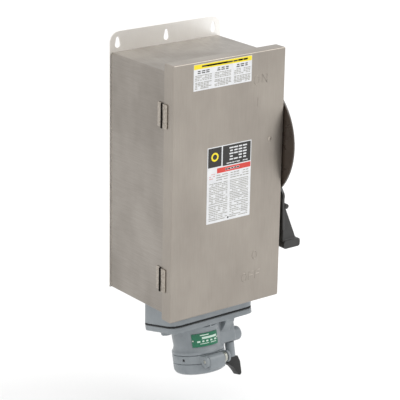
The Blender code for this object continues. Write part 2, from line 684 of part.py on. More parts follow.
def handle():
    inner_end = MECHANISM_X[0] + 0.010
    shaft = rod("handle_shaft", (inner_end, HANDLE_Y, HANDLE_Z),
                (ARM_X + ARM_SHEET + 0.008, HANDLE_Y, HANDLE_Z), SHAFT_RADIUS)
    part(shaft, "tin_plate", handle_axis)

    # arm: a flat bar from the hub down to the grip, bent more upright at its end
    hub = (HANDLE_Y, HANDLE_Z)
    knee = (HANDLE_Y - 0.068, HANDLE_Z - 0.092)
    foot = (HANDLE_Y - 0.070, HANDLE_Z - 0.150)
    width = 0.013
    arm_x = (ARM_X, ARM_X + ARM_SHEET)
    points = arm_outline([hub, knee, foot], width)
    arm = outline("handle_arm", points, arm_x)
    part(arm, "black_steel", handle_axis)
    unite(arm, rod("hub", (arm_x[0], *hub), (arm_x[1] + 0.006, *hub), 0.019, sides=32),
          rod("knee", (arm_x[0], *knee), (arm_x[1], *knee), width, sides=24))
    cut(arm, rod("hub_bore", (arm_x[0] - 0.01, *hub), (arm_x[1] + 0.02, *hub), SHAFT_RADIUS + GAP))

    # grip: a flared moulding outside the arm, with a rolled lip at its foot
    front = -ENCLOSURE_DEPTH + 0.007
    top_z = HANDLE_Z - 0.1145
    lip_z = HANDLE_Z - 0.1720
    bottom_z = HANDLE_Z - 0.1860
    grip_x = arm_x[1] + GAP
    grip = block("handle_grip", (grip_x, grip_x + 0.005), (front, front + 0.026), (lip_z, top_z))
    flare(grip, lip_z, 0.0245, 0.012)
    part(grip, "black_plastic", handle_axis, smooth=False)
    lip = block("grip_lip", (grip_x, grip_x + 0.036), (front - 0.004, front + 0.043),
                (bottom_z, lip_z + 0.001), 0.005, "Y", 4)
    pin_z = HANDLE_Z - 0.1100
    pin_x = grip_x + 0.0045
    socket = rod("pin_socket", (pin_x, front - 0.010, pin_z), (pin_x, front + 0.040, pin_z),
                 GRIP_PIN_RADIUS + GAP)
    unite(grip, lip)
    cut(grip, socket)
    pin = rod("grip_pin", (pin_x, front - 0.003, pin_z), (pin_x, front + 0.024, pin_z), GRIP_PIN_RADIUS)
    part(pin, "black_steel", handle_axis)

    cam_x = (MECHANISM_X[0] + 0.014, MECHANISM_X[0] + 0.024)
    cam = rod("drive_cam", (cam_x[0], *hub), (cam_x[1], *hub), 0.016, sides=28)
    part(cam, "tin_plate", handle_axis)
    crank_y = HANDLE_Y - 0.014
    unite(cam, rod("crank", (cam_x[0], crank_y, HANDLE_Z), (cam_x[1], crank_y, HANDLE_Z), 0.008))
    cut(cam, rod("cam_bore", (cam_x[0] - 0.01, *hub), (cam_x[1] + 0.01, *hub), SHAFT_RADIUS + GAP))


def arm_outline(centres, half):
    """Outline of a flat bar of one width along a bent centre line, with square ends."""
    left = []
    right = []
    for i, here in enumerate(centres):
        before = centres[max(i - 1, 0)]
        after = centres[min(i + 1, len(centres) - 1)]
        run = Vector((after[0] - before[0], after[1] - before[1])).normalized()
        side = Vector((-run.y, run.x)) * half
        left.append((here[0] + side.x, here[1] + side.y))
        right.append((here[0] - side.x, here[1] - side.y))
    return left + right[::-1]


def flare(obj, z, outward, backward):
    """Widen a block's foot: outwards in x and backwards in y."""
    high_x = max(vertex.co.x for vertex in obj.data.vertices)
    high_y = max(vertex.co.y for vertex in obj.data.vertices)
    for vertex in obj.data.vertices:
        if abs(vertex.co.z - z) < 1e-6:
            if vertex.co.x > high_x - 1e-6:
                vertex.co.x += outward
            if vertex.co.y > high_y - 1e-6:
                vertex.co.y += backward


# ---------------------------------------------------------------- switch mechanism
def mechanism():
    low, high = MECHANISM_X
    y = (HANDLE_Y - 0.032, BODY_BACK - GAP)
    z = (HANDLE_Z - 0.055, BLADE_Z + 0.022)
    housing = block("mechanism_housing", (low, high), y, z, 0.004, "X")
    inside = block("mechanism_inside", (low + MECHANISM_SHEET, high - MECHANISM_SHEET),
                   (y[0] + MECHANISM_SHEET, 0.01), (z[0] + MECHANISM_SHEET, z[1] - MECHANISM_SHEET))
    shaft_hole = rod("shaft_hole", (high - 0.005, HANDLE_Y, HANDLE_Z), (high + 0.005, HANDLE_Y, HANDLE_Z),
                     SHAFT_RADIUS + 2 * GAP)
    rotor_hole = rod("rotor_hole", (low - 0.005, BLADE_Y, BLADE_Z), (low + 0.005, BLADE_Y, BLADE_Z),
                     ROTOR_JOURNAL + 2 * GAP)
    part(housing, "tin_plate")
    cut(housing, inside, shaft_hole, rotor_hole)

    turns = 4
    steps = 10
    start = MECHANISM_X[0] + 0.0265
    path = []
    for i in range(turns * steps + 1):
        angle = 2 * math.pi * i / steps
        path.append(Vector((start + 0.0018 * i / steps, HANDLE_Y + 0.0125 * math.cos(angle),
                            HANDLE_Z + 0.0125 * math.sin(angle))))
    spring = wire("mechanism_spring", [path], 0.0008, 1)
    part(spring, "tin_plate")


def rotor():
    low = BASE_X[0]
    high = BASE_X[1]
    # drawn with the blades standing up in their jaws, then opened about the blade axis
    shut_axis = Matrix.Translation((0.0, BLADE_Y, BLADE_Z))
    opened = shut_axis @ Matrix.Rotation(BLADE_OPEN, 4, "X") @ shut_axis.inverted()

    half = CROSSBAR_SIDE / 2
    depth = CROSSBAR_DEPTH / 2
    bar_z = BLADE_Z + CROSSBAR_REACH
    bar = block("rotor_crossbar", (low, high), (BLADE_Y - depth, BLADE_Y + depth),
                (bar_z - half, bar_z + half), 0.002, "X", 2)
    for start in (low, high - 0.008):
        unite(bar, block("arm", (start, start + 0.008), (BLADE_Y - 0.0065, BLADE_Y + 0.0065),
                         (BLADE_Z, bar_z)),
              rod("boss", (start, BLADE_Y, BLADE_Z), (start + 0.008, BLADE_Y, BLADE_Z), 0.009))
    unite(bar, rod("journal", (low - 0.008, BLADE_Y, BLADE_Z), (low + 0.004, BLADE_Y, BLADE_Z),
                   ROTOR_JOURNAL),
          rod("journal", (high - 0.004, BLADE_Y, BLADE_Z), (MECHANISM_X[0] + 0.008, BLADE_Y, BLADE_Z),
              ROTOR_JOURNAL))
    slots = [block("blade_slot", (x - BLADE_SHEET / 2 - GAP, x + BLADE_SHEET / 2 + GAP),
                   (BLADE_Y - BLADE_WIDTH / 2 - GAP, BLADE_Y + BLADE_WIDTH / 2 + GAP),
                   (bar_z - 0.01, bar_z + 0.01)) for x in POLE_X]
    cut(bar, *slots)
    for i, x in enumerate(POLE_X, 1):
        blade = block(f"switch_blade_{i}", (x - BLADE_SHEET / 2, x + BLADE_SHEET / 2),
                      (BLADE_Y - BLADE_WIDTH / 2, BLADE_Y + BLADE_WIDTH / 2),
                      (BLADE_Z - BLADE_WIDTH / 2, BLADE_Z + BLADE_LENGTH), BLADE_WIDTH * 0.45, "X", 4)
        cut(blade, rod("pin_hole", (x - 0.01, BLADE_Y, BLADE_Z), (x + 0.01, BLADE_Y, BLADE_Z),
                       BLADE_PIN + GAP, sides=16))
        part(blade, "copper", rotor_axis)
        open_up(blade, opened)
    part(bar, "base_moulding", rotor_axis)
    open_up(bar, opened)


def open_up(obj, opened):
    """Turn a piece and its cutting shapes from shut to open, in their meshes."""
    obj.data.transform(opened)
    for modifier in obj.modifiers:
        modifier.object.data.transform(opened)


def line_side():
    """The line base with its arc barriers, and a terminal at each pole: jaw, strap and lug."""
    base = block("line_base", BASE_X, LINE_BASE_Y, LINE_BASE_Z, 0.004, "Y")
    part(base, "base_moulding")
    fin_y = (LINE_BASE_Y[0] - BARRIER_REACH, LINE_BASE_Y[0] + 0.002)
    fin_z = (LINE_BASE_Z[0] + 0.010, LINE_BASE_Z[1] - 0.002)
    low, high = BASE_X[0] + 0.0005, BASE_X[1] - 0.0005
    for i in range(POLES + 1):
        x = low + (high - low - BARRIER_SHEET) * i / POLES
        unite(base, block("fin", (x, x + BARRIER_SHEET), fin_y, fin_z, 0.012, "X", 4,
                          where=lambda middle: middle.y < BLADE_Y))
    unite(base, block("bridge", (low + 0.0003, high - 0.0003), (fin_y[0] + 0.004, fin_y[0] + 0.007),
                      (fin_z[1] - 0.026, fin_z[1] - 0.014)))

    front = LINE_BASE_Y[0] - GAP
    jaw_z = (fin_z[0], BLADE_Z + BLADE_LENGTH + 0.004)
    for i, x in enumerate(POLE_X, 1):
        terminal = block(f"line_terminal_{i}", (x - 0.007, x + 0.007), (front - JAW_SHEET, front),
                         (LINE_BASE_Z[0] + 0.006, LINE_BASE_Z[1] - 0.002))
        part(terminal, "copper")
        add_leaves(terminal, x, (BLADE_Y - BLADE_WIDTH / 2, front - JAW_SHEET / 2), jaw_z)
        add_lug(terminal, x, front - JAW_SHEET / 2, LINE_LUG_Z)


def add_leaves(strap, x, y, z):
    """Two leaves that hold a blade between them."""
    slot = BLADE_SHEET / 2 + JAW_SLIP
    for side in (-1, 1):
        edge = sorted((x + side * slot, x + side * (slot + JAW_SHEET)))
        unite(strap, block("leaf", edge, y, z, 0.003, "X", 2, where=lambda middle: middle.y < BLADE_Y))


def add_lug(strap, x, back, z):
    """A box lug on a strap: a wire hole along z and a clamping screw from the front."""
    middle = lug_wire_y(back)
    lug = block("lug", (x - LUG_SIZE[0] / 2, x + LUG_SIZE[0] / 2), (back - LUG_SIZE[1], back),
                (z - LUG_SIZE[2] / 2, z + LUG_SIZE[2] / 2), 0.002, "Z", 2)
    bore = rod("lug_bore", (x, middle, z - LUG_SIZE[2]), (x, middle, z + LUG_SIZE[2]), WIRE_RADIUS + 0.0010,
               sides=16)
    screw = rod("lug_screw", (x, back - LUG_SIZE[1] - 0.0015, z), (x, middle - WIRE_RADIUS - GAP, z), 0.0036,
                sides=12)
    unite(strap, lug)
    cut(strap, bore)
    unite(strap, screw)


def lug_wire_y(back):
    return back - LUG_SIZE[1] / 2 + 0.001


def load_side():
    """The load base with the rotor's bearing, clips for the blades and fuses, load terminals and fuses."""
    base = block("load_base", BASE_X, LOAD_BASE_Y, LOAD_BASE_Z, 0.004, "Y")
    part(base, "base_moulding")
    x = BASE_X[0]
    unite(base, block("bearing", (x - 0.0075, x - 0.0015), (BLADE_Y - 0.010, LOAD_BASE_Y[1]),
                      (BLADE_Z - 0.010, BLADE_Z + 0.010), 0.003, "X", 3,
                      where=lambda middle: middle.y < BLADE_Y),
          block("bearing_foot", (x - 0.0075, x + 0.006), (LOAD_BASE_Y[0] + 0.004, LOAD_BASE_Y[1]),
                (BLADE_Z - 0.010, BLADE_Z + 0.010)))
    cut(base, rod("bearing_bore", (x - 0.012, BLADE_Y, BLADE_Z), (x - 0.001, BLADE_Y, BLADE_Z),
                  ROTOR_JOURNAL + GAP))

    front = LOAD_BASE_Y[0] - GAP
    half = LUG_SIZE[2] / 2
    for i, x in enumerate(POLE_X, 1):
        clip = block(f"fuse_clip_{i}", (x - 0.007, x + 0.007), (front - CLIP_SHEET, front),
                     (CLIP_Z["upper"] - 0.008, BLADE_Z + 0.008))
        part(clip, "copper")
        # the blade turns on a pin riveted between these leaves
        add_leaves(clip, x, (BLADE_Y - 0.008, front - CLIP_SHEET / 2), (BLADE_Z - 0.007, BLADE_Z + 0.007))
        reach = BLADE_SHEET / 2 + JAW_SLIP + JAW_SHEET + 0.001
        unite(clip, rod("pin", (x - reach, BLADE_Y, BLADE_Z), (x + reach, BLADE_Y, BLADE_Z), BLADE_PIN,
                        sides=12))
        add_fuse_clip(clip, x, "upper")

        terminal = block(f"load_terminal_{i}", (x - 0.007, x + 0.007), (front - CLIP_SHEET, front),
                         (LOAD_LUG_Z - half - 0.002, CLIP_Z["lower"] + 0.008))
        part(terminal, "copper")
        add_fuse_clip(terminal, x, "lower")
        add_lug(terminal, x, front - CLIP_SHEET / 2, LOAD_LUG_Z)

    body = FUSE_RADIUS - 0.0005
    for i, x in enumerate(POLE_X, 1):
        profile = [(0.0, FUSE_LENGTH), (FUSE_RADIUS - 0.001, FUSE_LENGTH), (FUSE_RADIUS, FUSE_LENGTH - 0.001),
                   (FUSE_RADIUS, FUSE_LENGTH - FERRULE_LENGTH), (body, FUSE_LENGTH - FERRULE_LENGTH),
                   (body, FERRULE_LENGTH), (FUSE_RADIUS, FERRULE_LENGTH), (FUSE_RADIUS, 0.001),
                   (FUSE_RADIUS - 0.001, 0.0), (0.0, 0.0)]
        fuse = turned(f"fuse_{i}", profile, (x, FUSE_Y, FUSE_BOTTOM), "Z", 18)
        part(fuse, "fuse_tube")


def add_fuse_clip(strap, x, end):
    """A sprung C-shaped clip on a short post, open to the front."""
    z = CLIP_Z[end]
    half = CLIP_LENGTH / 2
    inner = FUSE_RADIUS + GAP
    outer = inner + CLIP_SHEET
    ring = rod("clip_ring", (x, FUSE_Y, z - half), (x, FUSE_Y, z + half), outer, sides=18)
    post = block("clip_post", (x - 0.006, x + 0.006), (FUSE_Y + inner, LOAD_BASE_Y[0] - GAP - CLIP_SHEET / 2),
                 (z - half, z + half))
    hole = rod("clip_hole", (x, FUSE_Y, z - half - 0.001), (x, FUSE_Y, z + half + 0.001), inner, sides=18)
    mouth = block("clip_mouth", (x - 0.010, x + 0.010), (FUSE_Y - outer - 0.005, FUSE_Y),
                  (z - half - 0.001, z + half + 0.001))
    unite(strap, ring, post)
    cut(strap, hole, mouth)


def wiring():
    """Phase wires from the load lugs, and a ground wire, down to the receptacle's contacts."""
    lug_y = lug_wire_y(LOAD_BASE_Y[0] - GAP - CLIP_SHEET / 2)
    for i, (x, target) in enumerate(zip(POLE_X, (2, 1, 0)), 1):
        end_x, end_y = contact_places()[target]
        path = wire_route(Vector((x, lug_y, LOAD_LUG_Z + 0.004)), end_x, end_y)
        part(wire(f"phase_wire_{i}", [path], WIRE_RADIUS, 1), "wire_black")

    ground_x = BASE_X[1] + 0.014
    ground_z = LOAD_BASE_Z[0] + 0.006
    lug = block("ground_lug", (ground_x - 0.006, ground_x + 0.006),
                (BODY_BACK - GAP - 0.014, BODY_BACK - GAP), (ground_z - 0.008, ground_z + 0.008),
                0.002, "X", 2)
    cut(lug, rod("ground_bore", (ground_x, BODY_BACK - 0.0075, ground_z - 0.02),
                 (ground_x, BODY_BACK - 0.0075, ground_z + 0.02), WIRE_RADIUS + 0.0006, sides=16))
    part(lug, "brass")
    end_x, end_y = contact_places()[3]
    path = wire_route(Vector((ground_x, BODY_BACK - 0.0075, ground_z + 0.004)), end_x, end_y)
    part(wire("ground_wire", [path], WIRE_RADIUS, 1), "wire_green")


def wire_route(start, end_x, end_y):
    """Down from a lug, then through the adapter to a contact's tail."""
    end = tilted_point(end_x, end_y, -CONTACT_TAIL)
    above = tilted_point(end_x, end_y, 0.004)
    floor = Vector((end_x, above.y, BODY_BOTTOM + 0.012))
    below_lug = start + Vector((0.0, 0.0, -0.026))
    bend = Vector(((2 * start.x + end_x) / 3, (2 * start.y + floor.y) / 3, (below_lug.z + floor.z) / 2))
    return smooth_path([start, (start + below_lug) / 2, below_lug, bend, floor, above, end], 4)


# ---------------------------------------------------------------- receptacle
CONTACT_CIRCLE = 0.015
CONTACT_RADIUS = 0.0042
CONTACT_TAIL = 0.029            # contact's rear end below the flange top
INSULATOR_TOP = -0.030
INSULATOR_BOTTOM = -0.052


def contact_places():
    """Three phases and ground around the barrel's axis, in the receptacle's frame."""
    return [(BARREL_X + CONTACT_CIRCLE * math.cos(math.radians(angle)),
             BARREL_Y + CONTACT_CIRCLE * math.sin(math.radians(angle)))
            for angle in (45, 135, 225, 315)]


def adapter():
    half = FLANGE_WIDTH / 2
    y_low, y_high = sorted(tilted_point(0.0, y, 0.0).y for y in (0.0, FLANGE_LENGTH))
    top = BODY_BOTTOM - GAP
    wedge = block("receptacle_adapter", (-half, half), (y_low, y_high), (top - 0.08, top), FLANGE_CORNER,
                  "Z", 6)
    part(wedge, "cast_grey")
    below = tool(block("adapter_trim", (-0.15, 0.15), (-0.10, 0.25), (-0.15, SEAL_TOP + GAP + 0.0001)),
                 receptacle_frame)
    trim = wedge.modifiers.new("Trim", "BOOLEAN")
    trim.operation = "DIFFERENCE"
    trim.object = below
    wall = ADAPTER_WALL + 0.010
    passage = block("adapter_passage", (-half + wall, half - wall), (y_low + wall, y_high - wall),
                    (top - 0.10, top + 0.01), 0.010, "Z")
    cut(wedge, passage)

    seal = block("receptacle_gasket", (-half, half), (0.0, FLANGE_LENGTH), (SEAL_TOP - SEAL_THICK, SEAL_TOP),
                 FLANGE_CORNER, "Z", 6)
    part(seal, "rubber", frame=receptacle_frame)
    cut(seal, block("seal_hole", (-half + wall, half - wall), (wall, FLANGE_LENGTH - wall), (-0.02, 0.02),
                    0.010, "Z"), frame=receptacle_frame)


def receptacle_housing():
    half = FLANGE_WIDTH / 2
    centre = (BARREL_X, BARREL_Y, 0.0)
    housing = block("receptacle_housing", (-half, half), (0.0, FLANGE_LENGTH), (FLANGE_BOTTOM, FLANGE_TOP),
                    FLANGE_CORNER, "Z", 6)
    part(housing, "cast_grey", frame=receptacle_frame)
    lip = COLLAR_RADIUS - 0.0022
    outer = [(0.0, FLANGE_BOTTOM + 0.002), (0.0455, FLANGE_BOTTOM + 0.002), (0.0450, FLANGE_BOTTOM - 0.001),
             (BARREL_RADIUS + 0.0012, -0.026), (BARREL_RADIUS, -0.047), (BARREL_RADIUS + 0.001, -0.0515),
             (lip, -0.0535), (COLLAR_RADIUS, -0.0560), (COLLAR_RADIUS, COLLAR_BOTTOM), (0.0, COLLAR_BOTTOM)]
    barrel = turned("barrel", outer, centre, "Z", 36)
    box = block("interlock_box", INTERLOCK_X, INTERLOCK_Y, (-INTERLOCK_DEPTH, FLANGE_BOTTOM + 0.001),
                0.004, "Z", 3)
    web = outline("box_web", [(0.0008, FLANGE_BOTTOM + 0.001), (0.0008, FLANGE_BOTTOM - 0.0035),
                              (0.0205, -0.036), (0.030, -0.036), (0.030, FLANGE_BOTTOM + 0.001)], WEB_X)
    boss = turned("pivot_boss", [(0.0, BOSS_REACH + 0.010), (BOSS_RADIUS - 0.004, BOSS_REACH + 0.010),
                                 (BOSS_RADIUS - 0.0012, BOSS_REACH + 0.0088),
                                 (BOSS_RADIUS, BOSS_REACH + 0.006), (BOSS_RADIUS, 0.0), (0.0, 0.0)],
                  (INTERLOCK_X[1] - 0.010, PIVOT_Y, -PIVOT_DEPTH), "X", 28)
    drain_x = -half + 0.0195
    drain = rod("drain_boss", (drain_x, 0.050, FLANGE_BOTTOM + 0.001),
                (drain_x, 0.050, FLANGE_BOTTOM - 0.009), 0.0105, 0.0085, sides=20)
    unite(housing, barrel, box, web, boss, drain, frame=receptacle_frame)

    bore = turned("bore", [(0.0, 0.01), (0.024, 0.01), (0.024, INSULATOR_TOP), (BORE_RADIUS, INSULATOR_TOP),
                           (BORE_RADIUS, COLLAR_BOTTOM - 0.01), (0.0, COLLAR_BOTTOM - 0.01)], centre, "Z", 30)
    slot = block("flange_slot", (-0.031, 0.0215), (-0.01, 0.0060), (FLANGE_BOTTOM - 0.0020, FLANGE_BOTTOM))
    pin_bore = rod("pin_bore", (LEVER_X - 0.012, PIVOT_Y, -PIVOT_DEPTH),
                   (INTERLOCK_X[1] + 2 * BOSS_REACH, PIVOT_Y, -PIVOT_DEPTH), PIVOT_RADIUS + GAP, sides=16)
    lever_room = block("lever_room", (LEVER_X - LEVER_HUB_HALF - GAP, LEVER_X + LEVER_HUB_HALF + GAP),
                       (PIVOT_Y - 0.0084, PIVOT_Y + LEVER_HUB_RADIUS + 0.0004),
                       (-0.08, -PIVOT_DEPTH + LEVER_HUB_RADIUS + 0.0004))
    holes = [rod("flange_hole", (x, y, 0.01), (x, y, -0.03), SCREW_RADIUS, sides=12)
             for x, y in flange_screw_places()]
    cut(housing, bore, slot, lever_room, pin_bore, *holes, frame=receptacle_frame)

    # a curved nameplate on the barrel's front
    plate_radius = BARREL_RADIUS + 0.0022
    steps = 10
    start, end = math.radians(-137), math.radians(-72)
    angles = [start + (end - start) * i / steps for i in range(steps + 1)]
    ring = [(plate_radius + 0.0006, angle) for angle in angles]
    ring += [(plate_radius, angle) for angle in angles[::-1]]
    points = [(BARREL_X + radius * math.cos(angle), BARREL_Y + radius * math.sin(angle))
              for radius, angle in ring]
    plate = outline("receptacle_nameplate", points, (-0.0465, -0.0240), "Z")
    part(plate, "nameplate_green", frame=receptacle_frame)


def ring_screw_line():
    """A point inside the collar ring and the outward direction of its set screw."""
    angle = math.radians(-162)
    middle = Vector((BARREL_X, BARREL_Y, (RING_TOP + RING_BOTTOM) / 2))
    return middle, Vector((math.cos(angle), math.sin(angle), 0.0))


def flange_screw_places():
    half = FLANGE_WIDTH / 2 - 0.012
    return [(x, y) for x in (-half, half) for y in (0.013, FLANGE_LENGTH - 0.013)]


def contacts():
    """The insulator, bored for the plug's pins; its contact sleeves are fitted into these bores."""
    insulator = rod("contact_insulator", (BARREL_X, BARREL_Y, INSULATOR_TOP - GAP),
                    (BARREL_X, BARREL_Y, INSULATOR_BOTTOM), BORE_RADIUS - GAP, sides=30)
    part(insulator, "base_moulding", frame=receptacle_frame)
    cut(insulator, *[rod("contact_hole", (x, y, INSULATOR_TOP - 0.004), (x, y, INSULATOR_BOTTOM - 0.01),
                         CONTACT_RADIUS, sides=12) for x, y in contact_places()], frame=receptacle_frame)


def collar_ring():
    centre = (BARREL_X, BARREL_Y, 0.0)
    inner = BORE_RADIUS + GAP
    profile = [(inner, RING_TOP), (COLLAR_RADIUS - 0.0008, RING_TOP), (COLLAR_RADIUS, RING_TOP - 0.0008),
               (COLLAR_RADIUS, RING_BOTTOM + 0.0008), (COLLAR_RADIUS - 0.0008, RING_BOTTOM),
               (inner, RING_BOTTOM)]
    ring = turned("collar_ring", profile, centre, "Z", 36)
    part(ring, "cast_grey", frame=receptacle_frame)
    axis = (CAP_HINGE_Y, -CAP_HINGE_DEPTH)
    swing = rod("barrel_room", (HINGE_LUG_LEFT[1], *axis), (HINGE_LUG_RIGHT[0], *axis),
                CAP_HINGE_RADIUS + 2 * GAP, sides=24)
    cut(ring, swing, frame=receptacle_frame)
    for low, high in (HINGE_LUG_LEFT, HINGE_LUG_RIGHT):
        unite(ring, rod("hinge_lug", (low, *axis), (high, *axis), CAP_HINGE_RADIUS, sides=24),
              block("lug_web", (low, high), (CAP_HINGE_Y, 0.007), (RING_BOTTOM, RING_TOP - 0.001)),
              frame=receptacle_frame)
    wide = rod("ring_bore", (BARREL_X, BARREL_Y, RING_TOP + 0.0205), (BARREL_X, BARREL_Y, RING_TOP - 0.0295),
               inner, sides=36)
    pin_bore = rod("hinge_bore", (HINGE_LUG_LEFT[0] - 0.01, *axis), (HINGE_LUG_RIGHT[1] + 0.01, *axis),
                   CAP_PIN_RADIUS + GAP, sides=16)
    middle, direction = ring_screw_line()
    screw_hole = rod("set_screw_hole", middle + direction * (BORE_RADIUS + 0.004),
                     middle + direction * (COLLAR_RADIUS + 0.01), 0.0024, sides=16)
    cut(ring, wide, pin_bore, screw_hole, frame=receptacle_frame)

    pin = rod("cap_hinge_pin", (HINGE_LUG_LEFT[0] + 0.0005, *axis), (HINGE_LUG_RIGHT[1] + 0.001, *axis),
              CAP_PIN_RADIUS, sides=16)
    part(pin, "tin_plate", frame=receptacle_frame)

    turns = 3
    steps = 12
    wire_radius = 0.0009
    coil = 0.0078
    low = HINGE_SPRING_X[0] + wire_radius
    pitch = (HINGE_SPRING_X[1] - HINGE_SPRING_X[0] - 2 * wire_radius) / turns
    path = []
    for i in range(turns * steps + 1):
        angle = 2 * math.pi * i / steps
        path.append(Vector((low + pitch * i / steps, axis[0] + coil * math.cos(angle),
                            axis[1] + coil * math.sin(angle))))
    spring = wire("cap_spring", [path], wire_radius, 1)
    part(spring, "tin_plate", frame=receptacle_frame)


def cap():
    centre = (BARREL_X, BARREL_Y, 0.0)
    recess = CAP_RECESS
    floor = CAP_TOP - 0.0037
    edge = arc((COLLAR_RADIUS - CAP_EDGE, CAP_BOTTOM + CAP_EDGE), CAP_EDGE, 0, -90, 4)
    profile = [(0.0, floor), (recess, floor), (recess, CAP_TOP), (COLLAR_RADIUS - 0.0008, CAP_TOP),
               (COLLAR_RADIUS, CAP_TOP - 0.0008), *edge, (0.0, CAP_BOTTOM)]
    body = turned("receptacle_cap", profile, centre, "Z", 36)
    part(body, "cast_grey", cap_axis)
    axis = (CAP_HINGE_Y, -CAP_HINGE_DEPTH)
    low, high = HINGE_BARREL_X
    cap_tools = [rod("lug_room", (HINGE_LUG_LEFT[0] - 0.001, *axis), (HINGE_LUG_LEFT[1] + GAP, *axis),
                     CAP_HINGE_RADIUS + 2 * GAP, sides=24),
                 rod("lug_room", (high, *axis), (HINGE_LUG_RIGHT[1] + 0.001, *axis),
                     CAP_HINGE_RADIUS + 2 * GAP, sides=24)]
    barrel = rod("hinge_barrel", (low, *axis), (high, *axis), CAP_HINGE_RADIUS, sides=24)
    web = block("barrel_web", (low, high), (CAP_HINGE_Y - CAP_HINGE_RADIUS + 0.0025, 0.006),
                (-CAP_HINGE_DEPTH - CAP_HINGE_RADIUS - 0.0053, CAP_TOP - 0.0005),
                0.004, "X", 3, where=lambda middle: middle.y < 0 and middle.z < CAP_TOP - 0.005)
    pin_bore = rod("pin_bore", (low - 0.02, *axis), (high + 0.02, *axis), CAP_PIN_RADIUS + GAP, sides=16)
    cut(body, *cap_tools, frame=receptacle_frame)
    unite(body, barrel, web, frame=receptacle_frame)
    cut(body, pin_bore, frame=receptacle_frame)

    seal = turned("cap_gasket", [(recess - 0.010, CAP_TOP - GAP), (recess - GAP, CAP_TOP - GAP),
                                 (recess - GAP, floor + GAP), (recess - 0.010, floor + GAP)], centre, "Z", 30)
    part(seal, "rubber", cap_axis)


def release_lever():
    """The plug-release lever: a hub inside the interlock box, a round shank and a moulded finger tip."""
    pivot = (PIVOT_Y, -PIVOT_DEPTH)
    shank_end = -PIVOT_DEPTH - LEVER_SHANK_END
    lever = rod("release_lever", (LEVER_X - LEVER_HUB_HALF, *pivot), (LEVER_X + LEVER_HUB_HALF, *pivot),
                LEVER_HUB_RADIUS, sides=20)
    part(lever, "cast_grey", lever_axis)
    # the shank's shoulder is sloped so that it clears the box as the lever swings
    profile = [(0.0, -0.0097), (0.0045, -0.0100), (LEVER_SHANK - 0.0008, -0.0112), (LEVER_SHANK, -0.0120),
               (LEVER_SHANK - 0.0005, -LEVER_SHANK_END), (0.0, -LEVER_SHANK_END)]
    shank = turned("shank", profile, (LEVER_X, *pivot), "Z", 22)
    boss_room = rod("boss_room", (INTERLOCK_X[1] - 0.0006, *pivot), (INTERLOCK_X[1] + 0.020, *pivot),
                    BOSS_RADIUS + 0.0005, sides=28)
    neck = block("neck", (LEVER_X - 0.0045, LEVER_X + 0.0045), (PIVOT_Y - 0.0042, PIVOT_Y + 0.0042),
                 (-PIVOT_DEPTH - 0.012, -PIVOT_DEPTH))
    bore = rod("lever_bore", (LEVER_X - 0.01, *pivot), (LEVER_X + 0.01, *pivot), PIVOT_RADIUS + GAP, sides=16)
    socket = rod("tip_socket", (LEVER_X, PIVOT_Y, shank_end - 0.01), (LEVER_X, PIVOT_Y, shank_end + 0.006),
                 0.0045, sides=12)
    unite(lever, shank, frame=receptacle_frame)
    cut(lever, boss_room, frame=receptacle_frame)
    unite(lever, neck, frame=receptacle_frame)
    cut(lever, bore, socket, frame=receptacle_frame)

    # finger tip: a wing towards the barrel and a point at the foot
    top = shank_end - GAP
    tip_outline = ((-0.0085, 0.0), (-0.0130, -0.0072), (-0.0124, -0.0100), (-0.0035, -0.0165),
                   (0.0030, -0.0265), (0.0058, -0.0322), (0.0080, -0.0337), (0.0105, -0.0337),
                   (0.0130, -0.0305), (0.0129, -0.0105), (0.0092, 0.0))
    points = [(LEVER_X + x, top + z) for x, z in tip_outline]
    half = 0.0070
    tip = outline("lever_tip", points, (PIVOT_Y - half, PIVOT_Y + half), "Y")
    part(tip, "black_plastic", lever_axis, smooth=False)
    unite(tip, rod("tip_tenon", (LEVER_X, PIVOT_Y, top - 0.002), (LEVER_X, PIVOT_Y, shank_end + 0.0055),
                   0.0045 - GAP, sides=12), frame=receptacle_frame)

    pin = rod("lever_pivot_pin", (LEVER_X - 0.0115, *pivot), (INTERLOCK_X[1] + BOSS_REACH - 0.0005, *pivot),
              PIVOT_RADIUS, sides=16)
    part(pin, "tin_plate", frame=receptacle_frame)


back_panel()
enclosure_body()
door()
defeater_screw()
hinges()
handle_guard()
handle()
mechanism()
rotor()
line_side()
load_side()
wiring()
adapter()
receptacle_housing()
contacts()
collar_ring()
cap()
release_lever()
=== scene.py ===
import json
import math

import bmesh
import bpy
from mathutils import Matrix, Vector

